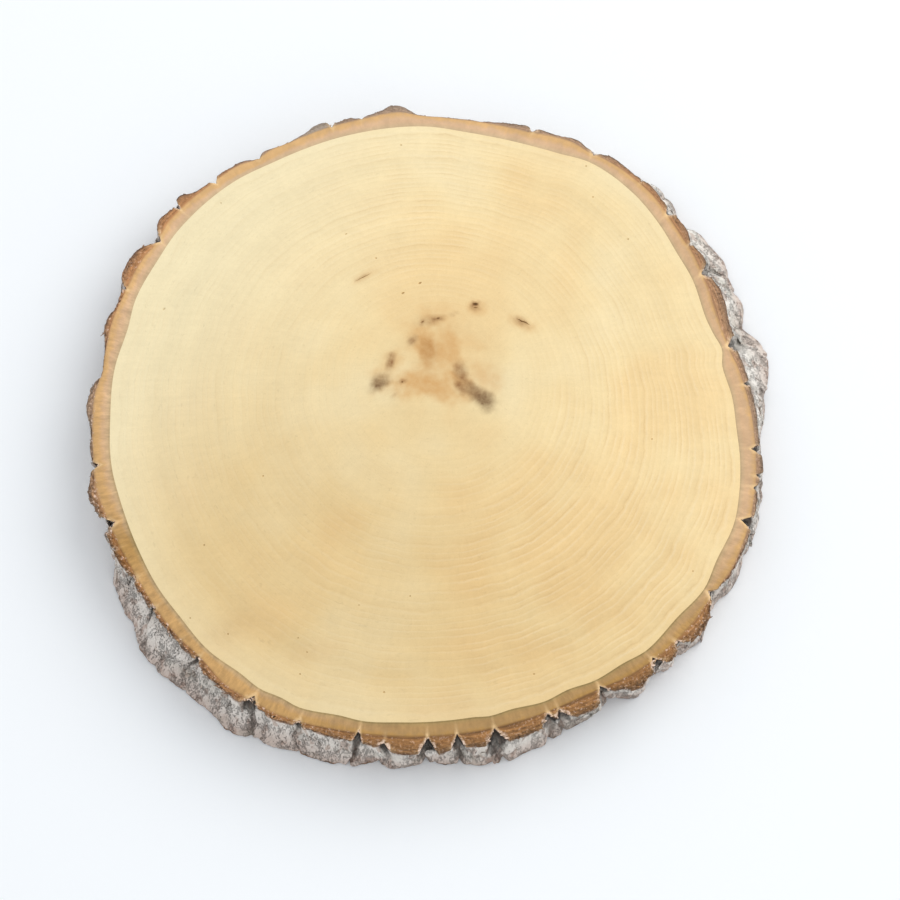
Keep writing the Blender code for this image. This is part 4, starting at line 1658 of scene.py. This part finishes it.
    def ring(self, cut: bpy.types.Material, weathered: bpy.types.Material) -> bpy.types.Object:
        """Builds the ring of bark.

        Args:
            cut: The finish of its cut edges.
            weathered: The finish of its outside.

        Returns:
            The finished piece, with the attributes that its scales and fibres are set by.
        """
        degrees, flat = self.degrees, np.ones(self.columns)
        rows = self.cut_rows(Face.SANDED) + self.wall_rows() + self.cut_rows(Face.SAWN)[::-1]
        rings = np.array([spread(self.trunk.centre, row.radius, degrees, row.height) for row in rows])
        piece = place_object(ringed_mesh("bark ring", rings), "linden_bark_ring")
        drops = np.array([row.drop for row in rows])
        radius = np.array([row.radius for row in rows])
        layer = np.array([row.layer for row in rows])
        wall = np.array([row.wall * flat for row in rows])
        rough = np.array([row.rough * flat for row in rows])
        worn = 1 - self.bleached_wear * wall * smoothstep(0.5, 1.0, through(LIT_AND_BLEACHED, degrees))
        fray = through(FRAYED, degrees) * np.ones((len(rows), 1))
        fissure = smoothstep(0.2, 3.0, self.trunk.fissure_depth(degrees, drops) / MM)
        on_cut = smoothstep(1.05, 1.4, layer) * (1 - wall) * (drops < 0.5)[:, None]
        inside = smoothstep(0.05, 0.36, drops) * (1 - smoothstep(0.64, 0.95, drops))
        attributes = {
            "layer": layer,
            "wall": wall,
            "rough": rough * worn,
            "ray": self.rays(radius, drops),
            "fissure": fissure,
            "fray": fray,
            "strew_crumbs": on_cut * (0.25 + 0.75 * fray),
            "strew_fibres": on_cut * smoothstep(0.35, 0.9, fray),
            "strew_scales": wall * inside[:, None] * (1 - fissure),
            **{name: np.tile(through(curve, degrees), len(rows)) for name, curve in CURVES.items()},
        }
        for name, values in attributes.items():
            store(piece.data, name, values.ravel())
        outward = np.tile(spread((0.0, 0.0), flat, degrees, 0.0), (len(rows), 1))
        round_trunk = np.tile(spread((0.0, 0.0), flat, degrees + FULL_TURN / 4, 0.0), (len(rows), 1))
        store(piece.data, "outward", outward)
        store(piece.data, "grain", np.where(wall.reshape(-1, 1) > 0.3, (0.0, 0.13, 1.0), round_trunk))
        run_tree(piece, self.relief_tree(), {
            "Plate": (0.011, 0.011, 0.028), "Steps": 10.0, "Step depth": 0.0003, "Crack depth": 0.0006,
            "Groove": (0.0016, 0.0016, 0.012), "Groove depth": 0.0003, "Cut": cut, "Weathered": weathered,
        })
        piece.data.shade_smooth()
        return piece

    def scatter_tree(self) -> bpy.types.NodeTree:
        """Builds the tree that strews small flattened lumps over a piece, flat side down and with
        their length upright on the wall and round the trunk on a level face.

        Returns:
            The tree, which sets more and larger ones where the attribute that it strews by is higher.
        """
        tree, add, given = new_tree("scatter", {
            "Strewn by": "String", "Density": "Float", "Seed": "Int", "Span": "Vector", "Least": "Float",
            "Most": "Float", "Spin": "Float", "Tilt": "Float", "Sunk": "Float", "Crumpled": "Float",
            "Material": "Material",
        })
        strew = add("InputNamedAttribute FLOAT", Name=(given, "Strewn by"))
        density = add("Math MULTIPLY", strew, (given, "Density"))
        points = add(
            "DistributePointsOnFaces", Mesh=(given, "Geometry"), Density=density, Seed=(given, "Seed")
        )
        grain = add("InputNamedAttribute FLOAT_VECTOR", Name="grain")
        facing = add(
            "AxesToRotation", Primary_Axis=(points, "Normal"), Secondary_Axis=grain, primary_axis="Z",
            secondary_axis="X",
        )
        spin_to = (given, "Spin")
        spin_from = add("Math MULTIPLY", spin_to, -1.0)
        spin = add("RandomValue FLOAT", Min=spin_from, Max=spin_to, Seed=1)
        spun = add("AxisAngleToRotation", Axis=(0.0, 0.0, 1.0), Angle=spin)
        tilt = add("RandomValue FLOAT", Min=0.0, Max=(given, "Tilt"), Seed=2)
        tilted = add("AxisAngleToRotation", Axis=(0.0, 1.0, 0.0), Angle=tilt)
        turned = add("RotateRotation LOCAL", facing, spun)
        turned = add("RotateRotation LOCAL", turned, tilted)
        size = add("RandomValue FLOAT", Min=(given, "Least"), Max=(given, "Most"), Seed=3)
        grown = add("MapRange", strew, 0.0, 0.8, 0.35, 1.0)
        size = add("Math MULTIPLY", size, grown)
        lump = add("MeshIcoSphere", Radius=0.5, Subdivisions=2)
        bits = add(
            "InstanceOnPoints", Points=points, Instance=lump, Rotation=turned,
            Scale=add("VectorMath SCALE", (given, "Span"), size),
        )
        sinking = add("CombineXYZ", Z=(given, "Sunk"))
        lowered = add("TranslateInstances", Instances=bits, Translation=sinking)
        real = add("RealizeInstances", lowered)
        place = add("InputPosition")
        dents = add("TexNoise", place, 900.0, 2.0, 0.6)
        shift = add("VectorMath SUBTRACT", (dents, "Color"), (0.5, 0.5, 0.5))
        shift = add("VectorMath SCALE", shift, (given, "Crumpled"))
        crumpled = add("SetPosition", Geometry=real, Offset=shift)
        finished = add("SetMaterial", Geometry=crumpled, Material=(given, "Material"))
        add("GroupOutput", finished)
        return tree

    def strewn(
        self, ring: bpy.types.Object, kind: Scatter, tree: bpy.types.NodeTree, finish: bpy.types.Material
    ) -> bpy.types.Object:
        """Builds one kind of small piece over the ring of bark.

        Args:
            ring: The ring of bark, with the attributes that tell where things are strewn.
            kind: What is strewn.
            tree: The tree that strews it.
            finish: Its material.

        Returns:
            The finished piece.
        """
        piece = place_object(ring.data.copy(), f"linden_bark_{kind.name}")
        run_tree(piece, tree, {
            "Strewn by": f"strew_{kind.name}", "Density": kind.per_square_metre, "Seed": kind.seed,
            "Span": kind.span, "Least": kind.least, "Most": kind.most, "Spin": math.radians(kind.spin),
            "Tilt": math.radians(kind.tilt), "Sunk": kind.sunk, "Crumpled": kind.crumpled, "Material": finish,
        })
        piece.data.materials.clear()
        piece.data.materials.append(finish)
        return piece

    def build(self, cut: CutBark, weathered: WeatheredBark, corners: tuple[Vector, Vector]) -> None:
        """Builds every piece of the bark, with its finish.

        Args:
            cut: The finish of the cut edges.
            weathered: The finish of the outside.
            corners: The box that the bark stays inside.
        """
        cut_finish, outside_finish = cut.material(self.trunk), weathered.material(self.trunk)
        ring = self.ring(cut_finish, outside_finish)
        tree = self.scatter_tree()
        pieces = [ring]
        for kind, finish in ((SCALES, outside_finish), (CRUMBS, cut_finish), (FIBRES, cut_finish)):
            pieces.append(self.strewn(ring, kind, tree, finish))
        for piece in pieces:
            keep_within(piece, corners)
            hand_over(piece, "bark")


@dataclass
class Studio:
    """A white paper floor under a soft white dome and one broad lamp, high at the right and behind."""

    floor_size: float = 24.0
    dome: str = "#F8FBFF"
    dome_strength: float = 0.81
    lamp_from: tuple[float, float, float] = (1.25, 0.95, 1.5)
    lamp_size: float = 2.2
    lamp_power: float = 23.0

    def build(self) -> None:
        """Builds the floor, the dome and the lamp."""
        bpy.ops.mesh.primitive_grid_add(x_subdivisions=2, y_subdivisions=2, size=self.floor_size)
        floor = bpy.context.active_object
        floor.name = "paper_floor"
        floor.data.materials.append(PaleFloor().material())
        floor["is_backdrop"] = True

        scene = bpy.context.scene
        world = bpy.data.worlds.new("white dome")
        world.use_nodes = True
        background = world.node_tree.nodes["Background"]
        background.inputs["Color"].default_value = linear(self.dome)
        background.inputs["Strength"].default_value = self.dome_strength
        scene.world = world

        lamp_data = bpy.data.lights.new("soft box", "AREA")
        lamp_data.shape = "DISK"
        lamp_data.size = self.lamp_size
        lamp_data.energy = self.lamp_power
        lamp = bpy.data.objects.new("soft_box", lamp_data)
        lamp.location = self.lamp_from
        lamp.rotation_euler = (-Vector(self.lamp_from)).to_track_quat("-Z", "Y").to_euler()
        scene.collection.objects.link(lamp)
        scene.view_settings.view_transform = "Standard"


@dataclass
class Camera:
    """The photograph's view: from 74 degrees above the near edge, 1.5 m away. Lengths are in metres."""

    aim_from_trunk: tuple[float, float] = (0.01044, -0.00919)
    distance: float = 1.5
    elevation: float = 74.0
    sensor_mm: float = 36.0
    picture_width: int = 900
    pixels_per_metre: float = 2490.0

    def build(self, trunk: Trunk) -> None:
        """Sets the scene's camera, so that the cut face has the photograph's scale.

        Args:
            trunk: The trunk that it looks at.
        """
        data = bpy.data.cameras.new("camera")
        data.sensor_width = self.sensor_mm
        data.lens = self.pixels_per_metre * self.distance * self.sensor_mm / self.picture_width
        data.clip_start = 0.05
        data.clip_end = 100.0
        camera = bpy.data.objects.new("camera", data)
        rise = math.radians(self.elevation)
        aim = Vector((*np.add(trunk.centre, self.aim_from_trunk), trunk.thickness))
        camera.location = aim + self.distance * Vector((0.0, -math.cos(rise), math.sin(rise)))
        camera.rotation_euler = (math.pi / 2 - rise, 0.0, 0.0)
        bpy.context.scene.collection.objects.link(camera)
        bpy.context.scene.camera = camera


def main() -> None:
    """Builds the slice round its frame, and the studio that it is seen in."""
    logging.basicConfig(level=logging.INFO, format="%(name)s: %(message)s")
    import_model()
    cad_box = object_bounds()
    trunk = Trunk()
    Camera().build(trunk)
    Studio().build()

    wood = Wood(trunk)
    wood.build(Face.SANDED, EndGrain("sanded linden end grain"))
    sawn = EndGrain(
        "sawn linden end grain", late_wood="#A67C46", stroke_contrast=0.16, tooth=0.00012, roughness=0.72
    )
    wood.build(Face.SAWN, sawn)
    Bark(trunk).build(CutBark("cut linden bark"), WeatheredBark("weathered linden bark"), cad_box)


if __name__ == "__main__":
    main()
